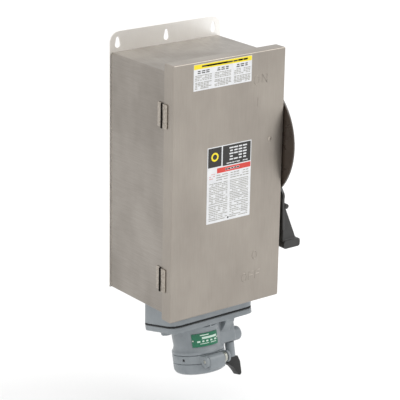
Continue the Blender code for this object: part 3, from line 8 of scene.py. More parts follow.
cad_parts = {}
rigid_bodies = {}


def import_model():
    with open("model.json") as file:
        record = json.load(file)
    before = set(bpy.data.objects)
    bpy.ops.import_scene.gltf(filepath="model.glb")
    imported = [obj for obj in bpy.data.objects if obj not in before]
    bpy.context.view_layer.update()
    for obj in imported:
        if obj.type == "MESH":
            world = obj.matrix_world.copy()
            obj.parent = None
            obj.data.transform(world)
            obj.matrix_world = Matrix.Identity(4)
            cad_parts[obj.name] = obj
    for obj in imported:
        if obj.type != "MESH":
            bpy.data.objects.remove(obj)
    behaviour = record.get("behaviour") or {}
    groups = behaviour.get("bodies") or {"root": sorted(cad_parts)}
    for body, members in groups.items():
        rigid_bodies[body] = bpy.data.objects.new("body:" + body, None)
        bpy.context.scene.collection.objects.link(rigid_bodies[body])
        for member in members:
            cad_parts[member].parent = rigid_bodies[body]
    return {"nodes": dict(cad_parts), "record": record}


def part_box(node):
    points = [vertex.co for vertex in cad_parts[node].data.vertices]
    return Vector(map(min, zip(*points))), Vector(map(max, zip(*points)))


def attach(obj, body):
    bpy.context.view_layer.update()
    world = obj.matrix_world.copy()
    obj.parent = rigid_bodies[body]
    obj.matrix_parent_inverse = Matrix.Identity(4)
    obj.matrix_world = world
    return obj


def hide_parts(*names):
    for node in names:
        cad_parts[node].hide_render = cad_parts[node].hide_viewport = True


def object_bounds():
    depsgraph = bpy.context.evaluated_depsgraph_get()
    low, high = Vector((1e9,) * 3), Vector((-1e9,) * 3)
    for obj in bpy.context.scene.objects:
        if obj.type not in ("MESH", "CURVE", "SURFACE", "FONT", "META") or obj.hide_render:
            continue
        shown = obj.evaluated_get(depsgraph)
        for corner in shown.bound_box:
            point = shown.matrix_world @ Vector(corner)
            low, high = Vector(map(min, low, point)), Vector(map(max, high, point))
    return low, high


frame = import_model()
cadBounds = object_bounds()
nodes = frame["nodes"]
bodyOf = {node: body for body, members in frame["record"]["behaviour"]["bodies"].items() for node in members}
slotOf = {entry["node"]: entry["material_slot"] for entry in frame["record"]["subparts"]}
bpy.context.scene.view_settings.view_transform = "Standard"
mm = 0.001
print("frame loaded:", len(nodes), "nodes")


def linear(hexColour):
    channels = [int(hexColour[i:i + 2], 16) / 255 for i in (1, 3, 5)]
    flat = [c / 12.92 if c <= 0.04045 else ((c + 0.055) / 1.055) ** 2.4 for c in channels]
    return (*flat, 1.0)


def addNode(tree, kind, inputs=None, **settings):
    node = tree.nodes.new(kind)
    for name, value in settings.items():
        setattr(node, name, value)
    for name, value in (inputs or {}).items():
        socket = node.inputs[name]
        if isinstance(value, bpy.types.NodeSocket):
            tree.links.new(value, socket)
        else:
            socket.default_value = value
    return node


def camelName(node):
    words = node.split("_")
    return words[0] + "".join(word.capitalize() for word in words[1:])


def shown(name, data):
    piece = bpy.data.objects.new(name, data)
    bpy.context.scene.collection.objects.link(piece)
    return piece


def applyModifiers(piece):
    evaluated = piece.evaluated_get(bpy.context.evaluated_depsgraph_get())
    mesh = bpy.data.meshes.new_from_object(evaluated)
    piece.modifiers.clear()
    piece.data = mesh
    return piece


def meshFrom(piece):  # a text or curve object becomes a mesh object of the same name
    evaluated = piece.evaluated_get(bpy.context.evaluated_depsgraph_get())
    mesh = bpy.data.meshes.new_from_object(evaluated)
    name = piece.name
    bpy.data.objects.remove(piece)
    return shown(name, mesh)


def settle(piece, body, slotName, *materials):
    if materials:
        piece.data.materials.clear()
        for material in materials:
            piece.data.materials.append(material)
    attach(piece, body)
    return piece


def newMaterial(name, hexColour, roughness, metallic=0.0):
    material = bpy.data.materials.new(name)
    material.use_nodes = True
    shader = material.node_tree.nodes["Principled BSDF"]
    shader.inputs["Base Color"].default_value = linear(hexColour)
    shader.inputs["Roughness"].default_value = roughness
    shader.inputs["Metallic"].default_value = metallic
    return material, material.node_tree, shader


def patternOf(tree, size, stretch=(1.0, 1.0, 1.0), detail=4.0):
    # noise on Object coordinates, with features of about that size in metres
    where = addNode(tree, "ShaderNodeTexCoord")
    mapped = addNode(tree, "ShaderNodeMapping", {"Vector": where.outputs["Object"], "Scale": stretch})
    return addNode(tree, "ShaderNodeTexNoise", {"Vector": mapped.outputs["Vector"], "Scale": 1 / size,
                                                "Detail": detail}).outputs["Fac"]


def rangeOf(tree, value, low, high, fromLow=0.3, fromHigh=0.7):
    return addNode(tree, "ShaderNodeMapRange", {"Value": value, "From Min": fromLow, "From Max": fromHigh,
                                                "To Min": low, "To Max": high}).outputs["Result"]


def blendOf(tree, factor, first, second, blend="MIX"):
    mix = tree.nodes.new("ShaderNodeMix")
    mix.data_type = "RGBA"
    mix.blend_type = blend
    for socket, value in ((mix.inputs[0], factor), (mix.inputs[6], first), (mix.inputs[7], second)):
        if isinstance(value, bpy.types.NodeSocket):
            tree.links.new(value, socket)
        else:
            socket.default_value = value
    return mix.outputs[2]


def bumpOf(tree, shader, height, distance, strength=0.5):
    bump = addNode(tree, "ShaderNodeBump", {"Height": height, "Distance": distance, "Strength": strength})
    tree.links.new(bump.outputs["Normal"], shader.inputs["Normal"])


def brushedStainless(name, light, dark, roughness, grain, stretch):
    # type 304 sheet with a brushed polish: fine straight scratches and faint smudges from handling
    material, tree, shader = newMaterial(name, light, roughness, 1.0)
    scratches = patternOf(tree, grain, stretch, 3.0)
    smudges = patternOf(tree, 70 * mm, (1.0, 1.0, 0.6), 5.0)
    tint = blendOf(tree, rangeOf(tree, smudges, 0.0, 1.0), linear(light), linear(dark))
    shade = blendOf(tree, rangeOf(tree, scratches, 0.0, 0.35), tint, linear(dark))
    tree.links.new(shade, shader.inputs["Base Color"])
    gloss = addNode(tree, "ShaderNodeMath", {0: rangeOf(tree, smudges, -0.05, 0.05),
                                             1: rangeOf(tree, scratches, roughness - 0.06,
                                                        roughness + 0.08)},
                    operation="ADD").outputs[0]
    tree.links.new(gloss, shader.inputs["Roughness"])
    bumpOf(tree, shader, scratches, 0.02 * mm, 0.35)
    return material


def castFinish(name, light, dark, roughness, grit=0.9 * mm):
    # sand-cast aluminium under a thin grey enamel: a pebbled skin with a soft gloss
    material, tree, shader = newMaterial(name, light, roughness)
    pebbles = patternOf(tree, grit, detail=3.0)
    stains = patternOf(tree, 18 * mm, detail=4.0)
    tree.links.new(blendOf(tree, rangeOf(tree, stains, 0.0, 1.0), linear(light), linear(dark)),
                   shader.inputs["Base Color"])
    tree.links.new(rangeOf(tree, pebbles, roughness - 0.08, roughness + 0.12), shader.inputs["Roughness"])
    bumpOf(tree, shader, pebbles, 0.12 * mm, 0.35)
    shader.inputs["Coat Weight"].default_value = 0.15
    shader.inputs["Coat Roughness"].default_value = 0.3
    return material


def paintedSteel(name, light, dark, roughness, peel=1.6 * mm):
    # baked enamel on steel: a slight orange peel, duller where it is handled
    material, tree, shader = newMaterial(name, light, roughness)
    ripple = patternOf(tree, peel, detail=2.0)
    wear = patternOf(tree, 25 * mm, detail=5.0)
    tree.links.new(blendOf(tree, rangeOf(tree, wear, 0.0, 1.0), linear(light), linear(dark)),
                   shader.inputs["Base Color"])
    tree.links.new(rangeOf(tree, wear, roughness - 0.06, roughness + 0.1), shader.inputs["Roughness"])
    bumpOf(tree, shader, ripple, 0.03 * mm, 0.3)
    return material


def moulded(name, light, dark, roughness, grain=0.7 * mm, depth=0.03 * mm):
    # moulded, wound or extruded plastic and rubber: a fine matt grain from the tool or die
    material, tree, shader = newMaterial(name, light, roughness)
    texture = patternOf(tree, grain, detail=4.0)
    flow = patternOf(tree, 12 * mm, detail=3.0)
    tree.links.new(blendOf(tree, rangeOf(tree, flow, 0.0, 1.0), linear(light), linear(dark)),
                   shader.inputs["Base Color"])
    tree.links.new(rangeOf(tree, texture, roughness - 0.07, roughness + 0.1), shader.inputs["Roughness"])
    bumpOf(tree, shader, texture, depth, 0.4)
    return material


def plated(name, light, dark, roughness, spread=6 * mm):
    # bare or plated metal, tumbled: bright, with small cloudy patches of oxide
    material, tree, shader = newMaterial(name, light, roughness, 1.0)
    clouds = patternOf(tree, spread, detail=6.0)
    tree.links.new(blendOf(tree, rangeOf(tree, clouds, 0.0, 1.0), linear(light), linear(dark)),
                   shader.inputs["Base Color"])
    tree.links.new(rangeOf(tree, clouds, roughness - 0.08, roughness + 0.12), shader.inputs["Roughness"])
    return material


def labelVinyl(name, light, dark, roughness=0.32):
    # printed polyester label under a clear laminate
    material, tree, shader = newMaterial(name, light, roughness)
    fibre = patternOf(tree, 9 * mm, detail=3.0)
    tree.links.new(blendOf(tree, rangeOf(tree, fibre, 0.0, 1.0), linear(light), linear(dark)),
                   shader.inputs["Base Color"])
    tree.links.new(rangeOf(tree, fibre, roughness - 0.04, roughness + 0.06), shader.inputs["Roughness"])
    return material


doorSteel = brushedStainless("brushed_stainless_door", "#A69F96", "#99928A", 0.38, 0.9 * mm,
                             (1.0, 1.0, 0.03))
bodySteel = brushedStainless("brushed_stainless_body", "#A29C95", "#8F8982", 0.40, 0.9 * mm,
                             (1.0, 0.03, 1.0))
# painted light: the back panel's stainless is near white, paler than the door and body, so its flanges show
# as brightly lit
panelSteelPaintedLight = brushedStainless("mill_finish_stainless_panel", "#F7F5F1", "#EDEAE5", 0.46, 0.7 * mm,
                              (1.0, 1.0, 0.05))
fittingSteel = plated("tumbled_stainless_fittings", "#B8B0A6", "#968E84", 0.33, 3 * mm)
# painted shade: a dark material for the hinge knuckles, standing for the shade in the gap behind the door's
# flange
hingePaintedShade = plated("shaded_oily_hinge_barrel", "#2A2724", "#1F1D1B", 0.6, 3 * mm)
castGrey = castFinish("enamelled_cast_aluminium", "#848A8E", "#7A8084", 0.42)
guardPaint = paintedSteel("dark_enamelled_steel_guard", "#3A312B", "#443A32", 0.30)
armPaint = paintedSteel("black_enamelled_steel_arm", "#262524", "#302E2C", 0.38)
gripPhenolic = moulded("moulded_phenolic_grip", "#2E2D2C", "#262524", 0.42)
tipNylon = moulded("moulded_black_nylon_tip", "#121212", "#1A1A1A", 0.5)
sealRubber = moulded("moulded_neoprene_seal", "#161616", "#1D1D1D", 0.65, 0.5 * mm, 0.05 * mm)
baseMoulding = moulded("moulded_polyester_glass_base", "#5A2A20", "#4E241B", 0.5, 1.1 * mm)
zincPlate = plated("zinc_plated_steel", "#C9C9C2", "#A9AAA2", 0.32)
brassBright = plated("machined_brass", "#D2B26A", "#BC9A55", 0.28)
copperBright = plated("tin_bright_copper", "#D68F6C", "#BE7A58", 0.28)
fibreTube = moulded("wound_glass_fibre_tube", "#B08A58", "#A27D4D", 0.55, 0.8 * mm)
vinylBlack = moulded("extruded_pvc_black", "#191919", "#222222", 0.38, 2 * mm)
vinylGreen = moulded("extruded_pvc_green", "#1C7A3A", "#176B32", 0.38, 2 * mm)
printWhite = labelVinyl("label_vinyl_white", "#DCDDDE", "#D2D3D5")
printYellow = labelVinyl("label_vinyl_yellow", "#F0DC1E", "#E5D01B")
printRed = labelVinyl("label_vinyl_red", "#D23F34", "#C4382E")
printBlack = labelVinyl("label_vinyl_black", "#1B1A18", "#242320")
printGrey = labelVinyl("label_vinyl_grey_ink", "#9A9890", "#8C8A83")
enamelGreen = labelVinyl("etched_nameplate_green", "#0B6B4A", "#0A5E42", 0.25)
enamelPale = labelVinyl("etched_nameplate_pale", "#C7D9CD", "#B7CCBF", 0.3)
fuseInk = labelVinyl("fuse_label_paper", "#E9E4D2", "#DCD6C2", 0.45)

materialOfSlot = {"stainless": fittingSteel, "guard_paint": guardPaint, "handle_paint": armPaint,
                  "grip_moulding": gripPhenolic, "plated_steel": zincPlate, "brass": brassBright,
                  "seal_rubber": sealRubber, "copper": copperBright, "base_moulding": baseMoulding,
                  "fuse_tube": fibreTube, "wire_black": vinylBlack, "wire_green": vinylGreen,
                  "cast_grey": castGrey, "nameplate": enamelGreen}
materialOfNode = {"door_panel": doorSteel, "enclosure_body": bodySteel, "back_panel": panelSteelPaintedLight,
                  "lever_tip": tipNylon}
print("materials made:", len(bpy.data.materials))


# skins on the frame's own pieces: the same shape, merged, with rolled edges
seamDistance = 0.002 * mm
flatAngle = math.radians(0.5)  # faces this close to level become one
bevelAngle = math.radians(35)  # sharper turns than this get a rolled edge
creaseAngle = math.radians(40)  # sharper turns than this stay creases in the shading
broadEdge = 0.8  # mm, from which a rolled edge takes one more segment


def mergedCopy(node):
    mesh = nodes[node].data.copy()
    built = bmesh.new()
    built.from_mesh(mesh)
    bmesh.ops.remove_doubles(built, verts=built.verts, dist=seamDistance)
    bmesh.ops.dissolve_limit(built, angle_limit=flatAngle, verts=built.verts, edges=built.edges)
    built.to_mesh(mesh)
    built.free()
    mesh.name = camelName(node)
    return mesh


def finishOf(node):
    return materialOfNode.get(node, materialOfSlot[slotOf[node]])


wideSheets = ("door_panel", "enclosure_body", "back_panel", "handle_guard")


def edgedSkin(node, radius, segments):
    piece = shown(camelName(node), mergedCopy(node))
    bevel = piece.modifiers.new("rolledEdges", "BEVEL")
    bevel.width = radius
    bevel.segments = segments
    bevel.limit_method = "ANGLE"
    bevel.angle_limit = bevelAngle
    bevel.use_clamp_overlap = True
    bevel.miter_outer = "MITER_ARC"
    applyModifiers(piece)
    piece.data.shade_smooth()
    piece.data.set_sharp_from_angle(angle=creaseAngle)
    if node in wideSheets:  # large faces shade flat up to their bends
        flatter = piece.modifiers.new("flatFaces", "WEIGHTED_NORMAL")
        flatter.keep_sharp = True
        applyModifiers(piece)
    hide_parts(node)
    return settle(piece, bodyOf[node], slotOf[node], finishOf(node))


def castSkin(node, voxel, rounds):  # a casting's fillets and soft edges
    piece = shown(camelName(node), mergedCopy(node))
    remesh = piece.modifiers.new("castSurface", "REMESH")
    remesh.mode = "VOXEL"
    remesh.voxel_size = voxel
    remesh.use_smooth_shade = True
    smooth = piece.modifiers.new("fillets", "SMOOTH")
    smooth.factor = 0.5
    smooth.iterations = rounds
    applyModifiers(piece)
    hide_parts(node)
    return settle(piece, bodyOf[node], slotOf[node], finishOf(node))


# each edge's rounding in mm
rolledEdges = {"door_panel": 0.35, "enclosure_body": 0.3, "back_panel": 0.3, "door_gasket": 0.8,
               "hinge_body_leaf_upper": 0.25, "hinge_body_leaf_lower": 0.25, "hinge_door_leaf_upper": 0.25,
               "hinge_door_leaf_lower": 0.25, "latch_base_upper": 0.2, "latch_base_lower": 0.2,
               "latch_lever_upper": 0.3, "latch_lever_lower": 0.3, "latch_bail_upper": 0.15,
               "latch_bail_lower": 0.15, "defeater_screw": 0.15, "handle_guard": 0.5, "handle_bushing": 0.4,
               "handle_shaft": 0.5, "handle_arm": 0.8, "grip_pin": 0.9, "drive_cam": 0.6,
               "mechanism_housing": 0.4, "line_base": 0.8, "load_base": 0.8, "rotor_crossbar": 0.8,
               "switch_blade_1": 0.3, "switch_blade_2": 0.3, "switch_blade_3": 0.3,
               "line_terminal_1": 0.25, "line_terminal_2": 0.25, "line_terminal_3": 0.25,
               "load_terminal_1": 0.25, "load_terminal_2": 0.25, "load_terminal_3": 0.25,
               "fuse_clip_1": 0.25, "fuse_clip_2": 0.25, "fuse_clip_3": 0.25, "ground_lug": 0.5,
               "receptacle_gasket": 0.3, "receptacle_nameplate": 0.1, "contact_insulator": 0.5,
               "cap_hinge_pin": 0.5, "cap_gasket": 0.6, "lever_pivot_pin": 0.5, "lever_tip": 1.6}
for node, radius in rolledEdges.items():
    edgedSkin(node, radius * mm, 3 if radius >= broadEdge else 2)

# each casting's voxel in mm, and its rounds of smoothing
castings = {"receptacle_housing": (1.0, 5), "receptacle_adapter": (1.3, 4), "collar_ring": (0.8, 4),
            "receptacle_cap": (0.8, 5), "release_lever": (0.6, 4)}
for node, (voxel, rounds) in castings.items():
    castSkin(node, voxel * mm, rounds)
print("skins made on", len(rolledEdges) + len(castings), "frame pieces")


# geometry node trees make what repeats
def geometryTree(name, inputs):
    tree = bpy.data.node_groups.new(name, "GeometryNodeTree")
    for label, kind in inputs.items():
        tree.interface.new_socket(name=label, in_out="INPUT", socket_type="NodeSocket" + kind)
    tree.interface.new_socket(name="Geometry", in_out="OUTPUT", socket_type="NodeSocketGeometry")
    return tree, addNode(tree, "NodeGroupInput").outputs


def closeTree(tree, geometry, material):
    solid = addNode(tree, "GeometryNodeRealizeInstances", {"Geometry": geometry}).outputs[0]
    painted = addNode(tree, "GeometryNodeSetMaterial", {"Geometry": solid, "Material": material}).outputs[0]
    addNode(tree, "NodeGroupOutput", {"Geometry": painted})
    return tree


def grown(name, tree, values, place=None, points=()):  # one plain mesh out of a tree
    mesh = bpy.data.meshes.new(name)
    mesh.from_pydata([tuple(point) for point in points], [], [])
    piece = shown(name, mesh)
    modifier = piece.modifiers.new("tree", "NODES")
    modifier.node_group = tree
    for item in tree.interface.items_tree:
        if item.in_out == "INPUT" and item.name in values:
            modifier[item.identifier] = values[item.name]
    applyModifiers(piece)
    if place is not None:
        piece.data.transform(place)
    return piece


def printedRowsTree():  # lines of print as rows of bars, with word gaps
    tree, given = geometryTree("printedRows",
                               {"Width": "Float", "Height": "Float", "Rows": "Int", "Words": "Int",
                                               "Bar": "Float", "Depth": "Float", "Seed": "Int",
                                               "Keep": "Float", "Ink": "Material"})
    grid = addNode(tree, "GeometryNodeMeshGrid", {"Size X": given["Width"], "Size Y": given["Height"],
                                                  "Vertices X": given["Words"], "Vertices Y": given["Rows"]})
    gap = addNode(tree, "ShaderNodeMath", {0: given["Width"], 1: given["Words"]},
                  operation="DIVIDE").outputs[0]
    length = addNode(tree, "FunctionNodeRandomValue", {"Seed": given["Seed"]}, data_type="FLOAT")
    length.inputs[2].default_value = 0.75
    length.inputs[3].default_value = 1.25
    wide = addNode(tree, "ShaderNodeMath", {0: gap, 1: length.outputs[1]}, operation="MULTIPLY").outputs[0]
    size = addNode(tree, "ShaderNodeCombineXYZ",
                   {"X": wide, "Y": given["Bar"], "Z": given["Depth"]}).outputs[0]
    keep = addNode(tree, "FunctionNodeRandomValue", {"Seed": given["Seed"], "Probability": given["Keep"]},
                   data_type="BOOLEAN")
    bar = addNode(tree, "GeometryNodeMeshCube").outputs["Mesh"]
    words = addNode(tree, "GeometryNodeInstanceOnPoints", {"Points": grid.outputs["Mesh"], "Instance": bar,
                                                           "Selection": keep.outputs[3], "Scale": size})
    return closeTree(tree, words.outputs[0], given["Ink"])


def headsTree():  # low domed heads on given points
    tree, given = geometryTree("domedHeads", {"Geometry": "Geometry", "Radius": "Float", "Rise": "Float",
                                              "Turn": "Vector", "Metal": "Material"})
    ball = addNode(tree, "GeometryNodeMeshUVSphere", {"Segments": 16, "Rings": 8, "Radius": given["Radius"]})
    flat = addNode(tree, "ShaderNodeCombineXYZ", {"X": 1.0, "Y": 1.0, "Z": given["Rise"]}).outputs[0]
    dome = addNode(tree, "GeometryNodeTransform",
                   {"Geometry": ball.outputs["Mesh"], "Scale": flat}).outputs[0]
    smooth = addNode(tree, "GeometryNodeSetShadeSmooth", {"Geometry": dome}).outputs[0]
    heads = addNode(tree, "GeometryNodeInstanceOnPoints", {"Points": given["Geometry"], "Instance": smooth,
                                                           "Rotation": given["Turn"]})
    return closeTree(tree, heads.outputs[0], given["Metal"])


def sleevesTree():  # thin tubes standing on given points
    tree, given = geometryTree("contactSleeves",
                               {"Geometry": "Geometry", "Radius": "Float", "Length": "Float",
                                                  "Wall": "Float", "Metal": "Material"})
    up = addNode(tree, "ShaderNodeCombineXYZ", {"Z": given["Length"]}).outputs[0]
    line = addNode(tree, "GeometryNodeCurvePrimitiveLine", {"End": up}).outputs[0]
    outer = addNode(tree, "GeometryNodeCurvePrimitiveCircle", {"Resolution": 20, "Radius": given["Radius"]})
    skin = addNode(tree, "GeometryNodeCurveToMesh",
                   {"Curve": line, "Profile Curve": outer.outputs[0]}).outputs[0]
    walled = addNode(tree, "GeometryNodeExtrudeMesh", {"Mesh": skin, "Offset Scale": given["Wall"],
                                                       "Individual": False}).outputs["Mesh"]
    whole = addNode(tree, "GeometryNodeJoinGeometry")
    flipped = addNode(tree, "GeometryNodeFlipFaces", {"Mesh": skin}).outputs[0]
    tree.links.new(walled, whole.inputs[0])
    tree.links.new(flipped, whole.inputs[0])
    merged = addNode(tree, "GeometryNodeMergeByDistance", {"Geometry": whole.outputs[0],
                                                           "Distance": 0.01 * mm}).outputs[0]
    tubes = addNode(tree, "GeometryNodeInstanceOnPoints", {"Points": given["Geometry"], "Instance": merged})
    return closeTree(tree, tubes.outputs[0], given["Metal"])


def coilTree():  # a helical spring along z
    tree, given = geometryTree("springCoil", {"Turns": "Float", "Radius": "Float", "Length": "Float",
                                              "Wire": "Float", "Metal": "Material"})
    path = addNode(tree, "GeometryNodeCurveSpiral", {"Resolution": 40, "Rotations": given["Turns"],
                                                     "Start Radius": given["Radius"],
                                                     "End Radius": given["Radius"],
                                                     "Height": given["Length"]})
    section = addNode(tree, "GeometryNodeCurvePrimitiveCircle", {"Resolution": 12, "Radius": given["Wire"]})
    rod = addNode(tree, "GeometryNodeCurveToMesh",
                  {"Curve": path.outputs[0], "Profile Curve": section.outputs[0],
                                                    "Fill Caps": True}).outputs[0]
    smooth = addNode(tree, "GeometryNodeSetShadeSmooth", {"Geometry": rod}).outputs[0]
    return closeTree(tree, smooth, given["Metal"])


printedRows = printedRowsTree()
domedHeads = headsTree()
contactSleeves = sleevesTree()
springCoil = coilTree()


# labels and marks are placed on the door's front
doorLow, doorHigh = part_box("door_panel")
frontY = doorLow.y
doorLeft = -0.1143  # half of the door's 228.6 mm
doorFoot = doorLow.z


def onFront(x, z, lift):  # x and z in mm from the door's lower left corner, lift in mm off the sheet
    return Matrix(((1, 0, 0, doorLeft + x * mm), (0, 0, -1, frontY - lift * mm),
                   (0, 1, 0, doorFoot + z * mm), (0, 0, 0, 1)))


# how far each layer stands off the sheet and how thick it is, in mm
layers = {"sheet": (0.02, 0.15), "ink": (0.18, 0.06), "mark": (0.25, 0.05), "centre": (0.31, 0.05),
          "hole": (0.34, 0.06), "print": (0.30, 0.06)}


def patch(name, x, z, layer, material, corner=0.6):  # a thin cut sheet with rounded corners
    lift, thick = layers[layer]
    built = bmesh.new()
    bmesh.ops.create_cube(built, size=1.0)
    size = Vector(((x[1] - x[0]) * mm, (z[1] - z[0]) * mm, thick * mm))
    bmesh.ops.scale(built, vec=size, verts=built.verts)
    upright = [edge for edge in built.edges if abs((edge.verts[0].co - edge.verts[1].co).z) > 0.5 * size.z]
    bmesh.ops.bevel(built, geom=upright, offset=corner * mm, segments=3, profile=0.5, affect="EDGES")
    mesh = bpy.data.meshes.new(name)
    built.to_mesh(mesh)
    built.free()
    mesh.transform(onFront((x[0] + x[1]) / 2, (z[0] + z[1]) / 2, lift + thick / 2))
    return settle(shown(name, mesh), "door", "nameplate", material)


# x and z are the block's edges and bar is a line's height, in mm; keep is the share of words drawn
def printBlock(name, x, z, rows, words, bar, ink, seed, keep=0.9):
    lift, thick = layers["print"]
    values = {"Width": (x[1] - x[0]) * mm * (words - 1) / words, "Height": (z[1] - z[0]) * mm, "Rows": rows,
              "Words": words, "Bar": bar * mm, "Depth": thick * mm, "Seed": seed, "Keep": keep, "Ink": ink}
    piece = grown(name, printedRows, values, onFront((x[0] + x[1]) / 2, (z[0] + z[1]) / 2, lift))
    return settle(piece, "door", "nameplate")


cautionLabel = {"x": (40.0, 157.5), "z": (385.0, 428.0), "band": 8.0, "rim": 0.5, "columns": 3,
                "gutter": (2.5, 5.5)}


def makeCautionLabel(s):
    low, high = s["x"]
    foot, top = s["z"]
    rim = s["rim"]
    patch("cautionLabelSheet", s["x"], s["z"], "sheet", printWhite)
    patch("cautionLabelBand", (low + rim, high - rim), (top - s["band"], top - rim), "ink", printYellow)
    printBlock("cautionBandPrint", (low + 16, high - 8), (top - 4.4, top - 4.1), 2, 9, 2.6, printBlack, 3,
               0.95)
    wide = (high - low) / s["columns"]
    for i in range(s["columns"]):
        left = low + wide * i + s["gutter"][0]
        right = left + wide - s["gutter"][1]
        printBlock(f"cautionHeading{i + 1}", (left + 4, right - 4), (top - 14.5, top - 11.5), 2, 3, 1.5,
                   printBlack, 11 + i)
        printBlock(f"cautionNotes{i + 1}", (left, right), (foot + 17.0, top - 18.5), 4, 7, 1.0, printGrey,
                   21 + i)
        printBlock(f"cautionSteps{i + 1}", (left, right), (foot + 3.5, foot + 13.0), 5, 6, 1.1, printGrey,
                   31 + i)


ratingLabel = {"x": (70.7, 161.0), "z": (157.0, 286.4), "black": 34.0, "divider": 0.335, "rim": 1.5,
               "mark": 7.5, "markCentre": 4.5, "roundness": 0.1}


def makeRatingLabel(s):
    low, high = s["x"]
    foot, top = s["z"]
    rim = s["rim"]
    blackFoot = top - s["black"]
    split = low + (high - low) * s["divider"]
    patch("ratingLabelSheet", s["x"], s["z"], "sheet", printWhite)
    patch("ratingLabelMarkField", (low + rim, split - rim), (blackFoot, top - rim), "ink", printBlack)
    patch("ratingLabelTitleField", (split + 1.0, high - rim), (blackFoot - 1.0, top - rim), "ink",
          printBlack)
    across = (low + split) / 2
    up = (blackFoot + top) / 2
    for name, reach, layer, ink in (("ratingLabelMark", s["mark"], "mark", printYellow),
                                    ("ratingLabelMarkCentre", s["markCentre"], "centre", printBlack)):
        patch(name, (across - reach, across + reach), (up - reach, up + reach), layer, ink,
              reach - s["roundness"])
    printBlock("ratingTitlePrint", (split + 14, high - 9), (blackFoot + 8, top - 6.5), 5, 4, 2.3, printWhite,
               41)
    printBlock("ratingTitleFoot", (split + 9, high - 7), (blackFoot + 1.8, blackFoot + 2.6), 2, 8, 0.9,
               printWhite, 42)
    patch("ratingLabelBand", (low + 20.0, high - 1.0), (blackFoot - 11.5, blackFoot - 2.8), "ink", printRed)
    printBlock("ratingBandPrint", (low + 36, high - 24), (blackFoot - 7.4, blackFoot - 6.9), 2, 5, 2.8,
               printWhite, 43)
    printBlock("ratingNoteMark", (low + 4, low + 16), (blackFoot - 19, blackFoot - 8), 4, 3, 0.9, printRed,
               44, 0.7)
    middle = (low + high) / 2
    for i, (left, right) in enumerate(((low + 4.5, middle - 2.5), (middle + 2.0, high - 4.5))):
        printBlock(f"ratingIntro{i + 1}", (left + (0 if i else 14), right), (blackFoot - 23, blackFoot - 15),
                   3,
                   6, 1.3, printGrey, 51 + i)
        printBlock(f"ratingNotes{i + 1}", (left, right), (foot + 33, blackFoot - 28), 13, 9, 1.1, printGrey,
                   61 + i)
        printBlock(f"ratingFoot{i + 1}", (left, right), (foot + 5, foot + 29), 9, 8, 1.1, printGrey, 71 + i,
                   0.8)
    patch("ratingLabelHole", (middle - 2.4, middle + 0.9), (foot + 3.0, foot + 6.3), "hole", printBlack, 1.6)


makeCautionLabel(cautionLabel)
makeRatingLabel(ratingLabel)
print("labels laid")


# raised strokes in the sheet; each letter's place is its middle, in mm from the door's lower left corner
pressedMarks = {"stroke": 1.2, "rise": 0.75, "tall": 14.0, "wide": 10.0,
                "letters": (("O", 169.0, 384.5), ("N", 185.5, 385.5), ("I", 172.8, 347.5),
                            ("O", 174.7, 83.5),
                            ("O", 153.5, 47.0), ("F", 168.0, 47.5), ("F", 181.5, 48.0))}


def ovalStroke(count=28):
    return [(0.5 * math.cos(2 * math.pi * i / count), 0.5 * math.sin(2 * math.pi * i / count))
            for i in range(count)]


strokesOf = {"O": ((ovalStroke(), True),),
             "N": (([(-0.5, -0.5), (-0.5, 0.5), (0.5, -0.5), (0.5, 0.5)], False),),
             "I": (([(0.0, -0.5), (0.0, 0.5)], False),),
             "F": (([(-0.45, -0.5), (-0.45, 0.5), (0.45, 0.5)], False),
                   ([(-0.45, 0.05), (0.3, 0.05)], False))}


def makePressedMarks(s):
    curve = bpy.data.curves.new("pressedMarks", "CURVE")
    curve.dimensions = "3D"
    curve.bevel_depth = s["stroke"] * mm
    curve.bevel_resolution = 3
    curve.use_fill_caps = True
    for letter, x, z in s["letters"]:
        for points, closed in strokesOf[letter]:
            spline = curve.splines.new("POLY")
            spline.points.add(len(points) - 1)
            spline.use_cyclic_u = closed
            for point, (across, up) in zip(spline.points, points):
                place = onFront(x + across * s["wide"], z + up * s["tall"],
                                s["rise"] - s["stroke"]).translation
                point.co = (*place, 1.0)
    marks = meshFrom(shown("pressedMarks", curve))
    marks.data.shade_smooth()
    settle(marks, "door", "stainless", doorSteel)


makePressedMarks(pressedMarks)


def domed(name, size, turn, metal, points):  # low domed heads; size is their radius in mm and their rise
    values = {"Radius": size[0] * mm, "Rise": size[1], "Turn": turn, "Metal": metal}
    return grown(name, domedHeads, values, points=points)


rivets = {"inset": {"door": 5.0, "body": 6.0}, "face": {"door": -0.1159, "body": -0.1135}, "reach": 13,
          "size": (2.4, 0.35)}


def makeRivets(s):
    for end in ("upper", "lower"):
        for leaf, inset in s["inset"].items():
            node = f"hinge_{leaf}_leaf_{end}"
            low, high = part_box(node)
            y = low.y + inset * mm if leaf == "door" else high.y - inset * mm
            middle = (low.z + high.z) / 2
            points = [(s["face"][leaf], y, middle + side * s["reach"] * mm) for side in (-1, 1)]
            heads = domed(f"{leaf}LeafRivets{end.capitalize()}", s["size"], (0.0, math.pi / 2, 0.0),
                          fittingSteel, points)
            settle(heads, bodyOf[node], "stainless")


makeRivets(rivets)

knuckle = {"barrel": 2.4, "reach": 2.6}


def paintShadeOnKnuckles(s):  # painted shade: the knuckle faces get a dark material that stands for the gap behind the door's flange
    for node in [name for name in nodes if name.startswith("hinge_")]:
        piece = bpy.data.objects[camelName(node)]
        low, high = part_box(node)
        barrel = high.y - s["barrel"] * mm if "door_leaf" in node else low.y + s["barrel"] * mm
        piece.data.materials.append(hingePaintedShade)
        for face in piece.data.polygons:
            if abs(face.center.y - barrel) < s["reach"] * mm:
                face.material_index = 1


paintShadeOnKnuckles(knuckle)
print("door dressed")


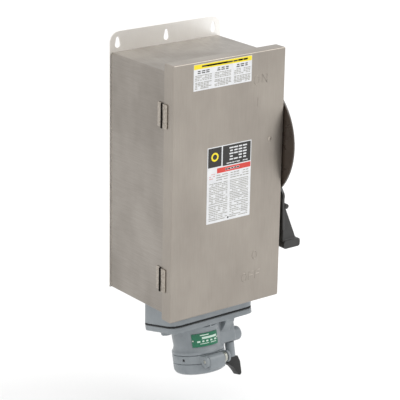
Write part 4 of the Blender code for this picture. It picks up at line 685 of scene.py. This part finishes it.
# the receptacle's sizes are in mm and degrees, in its own tilted frame
receptacle = {"tilt": 13.4, "origin": (0.0, -0.1473, -0.2384), "barrelX": -10.3, "barrelY": 46.0,
              "flangeFoot": -12.1, "contactCircle": 15.0, "insulatorFoot": -52.0,
              "plateRadius": 43.6, "plateDepth": (24.0, 46.5), "plateAngles": (-137, -72),
              "screwAngle": -162, "ringDepth": 67.75, "ringRadius": 45.0, "springRadius": 7.8,
              "springDepth": 71.0, "springY": -2.0}
tilted = Matrix.Translation(receptacle["origin"]) @ Matrix.Rotation(math.radians(-receptacle["tilt"]), 4,
                                                                    "X")


def inReceptacle(x, y, z):
    return tilted @ Vector((x * mm, y * mm, z * mm))


def aroundBarrel(angle, radius, depth):
    turn = math.radians(angle)
    return inReceptacle(receptacle["barrelX"] + radius * math.cos(turn),
                        receptacle["barrelY"] + radius * math.sin(turn), -depth)


# each band runs from one share of the plate's width to another, and from one share of its depth to another
nameplateBands = {"steps": 8, "out": (0.02, 0.09),
                  "lines": ((0.30, 0.62, 0.10, 0.17), (0.36, 0.94, 0.27, 0.43)),
                  "words": ((0.18, 0.11), (0.36, 0.07), (0.50, 0.08), (0.66, 0.08), (0.82, 0.10)),
                  "wordDepth": (0.54, 0.66),
                  "footLines": ((0.28, 0.60, 0.75, 0.80), (0.66, 0.90, 0.75, 0.80))}


def addBand(built, band, s, bands):
    fromShare, toShare, fromDepth, toDepth = band
    start, end = s["plateAngles"]
    top, foot = s["plateDepth"]
    inner, outer = bands["out"]
    rings = []
    for i in range(bands["steps"] + 1):
        angle = start + (end - start) * (fromShare + (toShare - fromShare) * i / bands["steps"])
        rings.append([built.verts.new(aroundBarrel(angle, s["plateRadius"] + out,
                                                   top + (foot - top) * depth))
                      for depth, out in ((fromDepth, inner), (toDepth, inner), (toDepth, outer),
                                         (fromDepth, outer))])
    for a, b in zip(rings, rings[1:]):
        for i in range(4):
            built.faces.new((a[i], a[(i + 1) % 4], b[(i + 1) % 4], b[i]))
    built.faces.new(rings[0][::-1])
    built.faces.new(rings[-1])


def makeNameplatePrint(s, bands):  # pale bands etched on the curved plate
    built = bmesh.new()
    words = tuple((share, share + wide, *bands["wordDepth"]) for share, wide in bands["words"])
    for band in bands["lines"] + words + bands["footLines"]:
        addBand(built, band, s, bands)
    bmesh.ops.recalc_face_normals(built, faces=built.faces)
    mesh = bpy.data.meshes.new("nameplatePrint")
    built.to_mesh(mesh)
    built.free()
    settle(shown("nameplatePrint", mesh), "enclosure", "nameplate", enamelPale)


makeNameplatePrint(receptacle, nameplateBands)

fittings = {"pins": {"Left": -134.5, "Right": -74.5}, "pinDepth": 35.2, "pinSize": (1.5, 0.4),
            "setScrewSink": 2.0, "setScrewSize": (2.0, 0.5), "flangeScrewX": (-75.4, 75.4),
            "flangeScrewY": (13.0, 81.0), "flangeScrewDrop": 0.6, "flangeScrewSize": (5.2, 0.4),
            "contactAngles": (45, 135, 225, 315), "sleeveFoot": 1.0, "sleeveRadius": 3.2,
            "sleeveLength": 16.0, "sleeveWall": 0.8}


def makeReceptacleFittings(s, f):
    for name, angle in f["pins"].items():
        pin = domed("nameplatePin" + name, f["pinSize"], (0.0, math.pi / 2, math.radians(angle)), zincPlate,
                    [aroundBarrel(angle, s["plateRadius"], f["pinDepth"])])
        settle(pin, "enclosure", "plated_steel")
    screw = domed("ringSetScrew", f["setScrewSize"], (0.0, math.pi / 2, math.radians(s["screwAngle"])),
                  tipNylon,
                  [aroundBarrel(s["screwAngle"], s["ringRadius"] - f["setScrewSink"], s["ringDepth"])])
    settle(screw, "enclosure", "plated_steel")
    corners = [inReceptacle(x, y, s["flangeFoot"] - f["flangeScrewDrop"])
               for x in f["flangeScrewX"] for y in f["flangeScrewY"]]
    screws = domed("flangeScrews", f["flangeScrewSize"], (math.radians(-s["tilt"]), 0.0, 0.0), castGrey,
                   corners)
    settle(screws, "enclosure", "plated_steel")
    spots = [((s["barrelX"] + s["contactCircle"] * math.cos(math.radians(angle))) * mm,
              (s["barrelY"] + s["contactCircle"] * math.sin(math.radians(angle))) * mm,
              (s["insulatorFoot"] + f["sleeveFoot"]) * mm) for angle in f["contactAngles"]]
    sleeves = grown("contactSleeves", contactSleeves,
                    {"Radius": f["sleeveRadius"] * mm, "Length": f["sleeveLength"] * mm,
                     "Wall": f["sleeveWall"] * mm, "Metal": brassBright}, tilted, points=spots)
    settle(sleeves, "enclosure", "brass")


makeReceptacleFittings(receptacle, fittings)

springs = {"cap": {"turns": 3.0, "wire": 1.0}, "mechanism": {"turns": 4.0, "wire": 0.8}}


def makeSpring(name, node, s, radius, foot):  # a coil along x, standing for the frame's spring
    low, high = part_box(node)
    coil = grown(name, springCoil, {"Turns": s["turns"], "Radius": radius,
                                    "Length": high.x - low.x - 2 * s["wire"] * mm, "Wire": s["wire"] * mm,
                                    "Metal": zincPlate}, foot @ Matrix.Rotation(math.pi / 2, 4, "Y"))
    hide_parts(node)
    settle(coil, "enclosure", "plated_steel")


def makeSprings(s, kinds):
    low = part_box("cap_spring")[0]
    wire = kinds["cap"]["wire"] * mm
    makeSpring("capSpring", "cap_spring", kinds["cap"], s["springRadius"] * mm,
               tilted @ Matrix.Translation((low.x + wire, s["springY"] * mm, -s["springDepth"] * mm)))
    low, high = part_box("mechanism_spring")
    wire = kinds["mechanism"]["wire"] * mm
    middle = (low + high) / 2
    makeSpring("mechanismSpring", "mechanism_spring", kinds["mechanism"], (high.y - low.y) / 2 - wire,
               Matrix.Translation((low.x + wire, middle.y, middle.z)))


makeSprings(receptacle, springs)
print("receptacle dressed")


castSkin("handle_grip", 0.8 * mm, 9)  # one thick moulding, rounded all over

# sizes in mm; label is the paper's ends as shares of the fuse's length
fuseShape = {"ferrule": 16.0, "ferruleWall": 0.6, "rounding": (1.2, 0.3), "groove": (3.0, 2.4, 1.8),
             "grooveDepth": 0.5, "paper": 0.12, "label": (0.36, 0.64), "steps": 48}


def makeFuse(number, s):
    low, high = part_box(f"fuse_{number}")
    centre = (low + high) / 2
    radius = (high.x - low.x) / 2
    length = high.z - low.z
    cap = s["ferrule"] * mm
    tube = radius - s["ferruleWall"] * mm
    paper = tube + s["paper"] * mm
    wide, narrow = (size * mm for size in s["rounding"])
    grooveStart, grooveMiddle, grooveEnd = (cap - size * mm for size in s["groove"])
    paperStart, paperEnd = (length * share for share in s["label"])
    # a point's last number is the material of the band that ends there: 0 ferrule, 1 tube, 2 paper
    profile = [(0.0, 0.0, 0), (radius - wide, 0.0, 0), (radius - narrow, narrow, 0), (radius, wide, 0),
               (radius, grooveStart, 0), (radius - s["grooveDepth"] * mm, grooveMiddle, 0),
               (radius, grooveEnd, 0), (radius, cap, 0), (tube, cap, 0), (tube, paperStart, 1),
               (paper, paperStart, 2), (paper, paperEnd, 2)]
    half = [point for point in profile if point[1] <= cap]
    upper = [(r, length - z, index) for r, z, index in half[::-1]]
    whole = profile + [(tube, paperEnd, 2), (tube, length - cap, 1)] + upper[1:]
    mesh = bpy.data.meshes.new(f"fuse{number}")
    for material in (copperBright, fibreTube, fuseInk):
        mesh.materials.append(material)
    built = bmesh.new()
    rings = []
    for r, z, index in whole:
        if r == 0.0:
            rings.append([built.verts.new((centre.x, centre.y, low.z + z))])
            continue
        rings.append([built.verts.new((centre.x + r * math.cos(2 * math.pi * i / s["steps"]),
                                       centre.y + r * math.sin(2 * math.pi * i / s["steps"]), low.z + z))
                      for i in range(s["steps"])])
    for ring, following, point in zip(rings, rings[1:], whole[1:]):
        for i in range(s["steps"]):
            j = (i + 1) % s["steps"]
            corners = [ring[i % len(ring)], ring[j % len(ring)], following[j % len(following)],
                       following[i % len(following)]]
            face = built.faces.new(list(dict.fromkeys(corners)))
            face.material_index = point[2]
            face.smooth = True
    bmesh.ops.recalc_face_normals(built, faces=built.faces)
    built.to_mesh(mesh)
    built.free()
    mesh.set_sharp_from_angle(angle=creaseAngle)
    fuse = shown(f"fuse{number}", mesh)
    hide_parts(f"fuse_{number}")
    settle(fuse, "enclosure", "fuse_tube")


for number in (1, 2, 3):
    makeFuse(number, fuseShape)


def wireSkin(node):
    piece = shown(camelName(node), mergedCopy(node))
    rounder = piece.modifiers.new("round", "SUBSURF")
    rounder.levels = 2
    rounder.render_levels = 2
    applyModifiers(piece)
    piece.data.shade_smooth()
    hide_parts(node)
    return settle(piece, bodyOf[node], slotOf[node], finishOf(node))


for node in ("phase_wire_1", "phase_wire_2", "phase_wire_3", "ground_wire"):
    wireSkin(node)
print("inside dressed")


studio = {"drop": 60.0, "floorSize": 40.0, "sky": 1.12}


def makeStudio(s):
    mesh = bpy.data.meshes.new("studioFloor")
    half = s["floorSize"] / 2
    z = cadBounds[0][2] - s["drop"] * mm
    mesh.from_pydata([(-half, -half, z), (half, -half, z), (half, half, z), (-half, half, z)], [],
                     [(0, 1, 2, 3)])
    floor = shown("studioFloor", mesh)
    paper, tree, shader = newMaterial("seamless_paper", "#F6F6F6", 0.9)
    fleck = patternOf(tree, 400 * mm, detail=2.0)
    tree.links.new(blendOf(tree, fleck, linear("#F7F7F7"), linear("#F4F4F4")), shader.inputs["Base Color"])
    floor.data.materials.append(paper)
    world = bpy.data.worlds.new("studioSky")
    world.use_nodes = True
    sky = world.node_tree.nodes["Background"]
    sky.inputs["Color"].default_value = linear("#FFFFFF")
    sky.inputs["Strength"].default_value = s["sky"]
    bpy.context.scene.world = world


def areaLight(name, place, target, size, power):
    light = bpy.data.lights.new(name, "AREA")
    light.shape = "DISK"
    light.size = size
    light.energy = power
    lamp = bpy.data.objects.new(name, light)
    lamp.location = place
    lamp.rotation_euler = (Vector(target) - Vector(place)).to_track_quat("-Z", "Y").to_euler()
    bpy.context.scene.collection.objects.link(lamp)


keyLight = {"place": (1.9, -1.5, 2.3), "target": (0.0, -0.09, -0.1), "size": 1.6, "power": 26.0}
makeStudio(studio)
areaLight("keyLight", **keyLight)

camera = {"place": (-1.7457, -2.3379, 0.9175), "yaw": 37.73, "pitch": 18.87, "roll": 0.97, "lens": 162.16,
          "shift": (0.018, 0.010), "sensor": 36.0, "far": 100.0}


def makeCamera(s):
    yaw, pitch, roll = (math.radians(s[key]) for key in ("yaw", "pitch", "roll"))
    forward = Vector((math.sin(yaw) * math.cos(pitch), math.cos(yaw) * math.cos(pitch), -math.sin(pitch)))
    level = Vector((math.cos(yaw), -math.sin(yaw), 0.0))
    upright = level.cross(forward)
    right = level * math.cos(roll) + upright * math.sin(roll)
    up = upright * math.cos(roll) - level * math.sin(roll)
    data = bpy.data.cameras.new("camera")
    data.lens = s["lens"]
    data.sensor_width = s["sensor"]
    data.shift_x, data.shift_y = s["shift"]
    data.clip_end = s["far"]
    eye = bpy.data.objects.new("camera", data)
    eye.matrix_world = Matrix.Translation(s["place"]) @ Matrix((right, up, -forward)).transposed().to_4x4()
    bpy.context.scene.collection.objects.link(eye)
    bpy.context.scene.camera = eye


makeCamera(camera)
print("studio set")
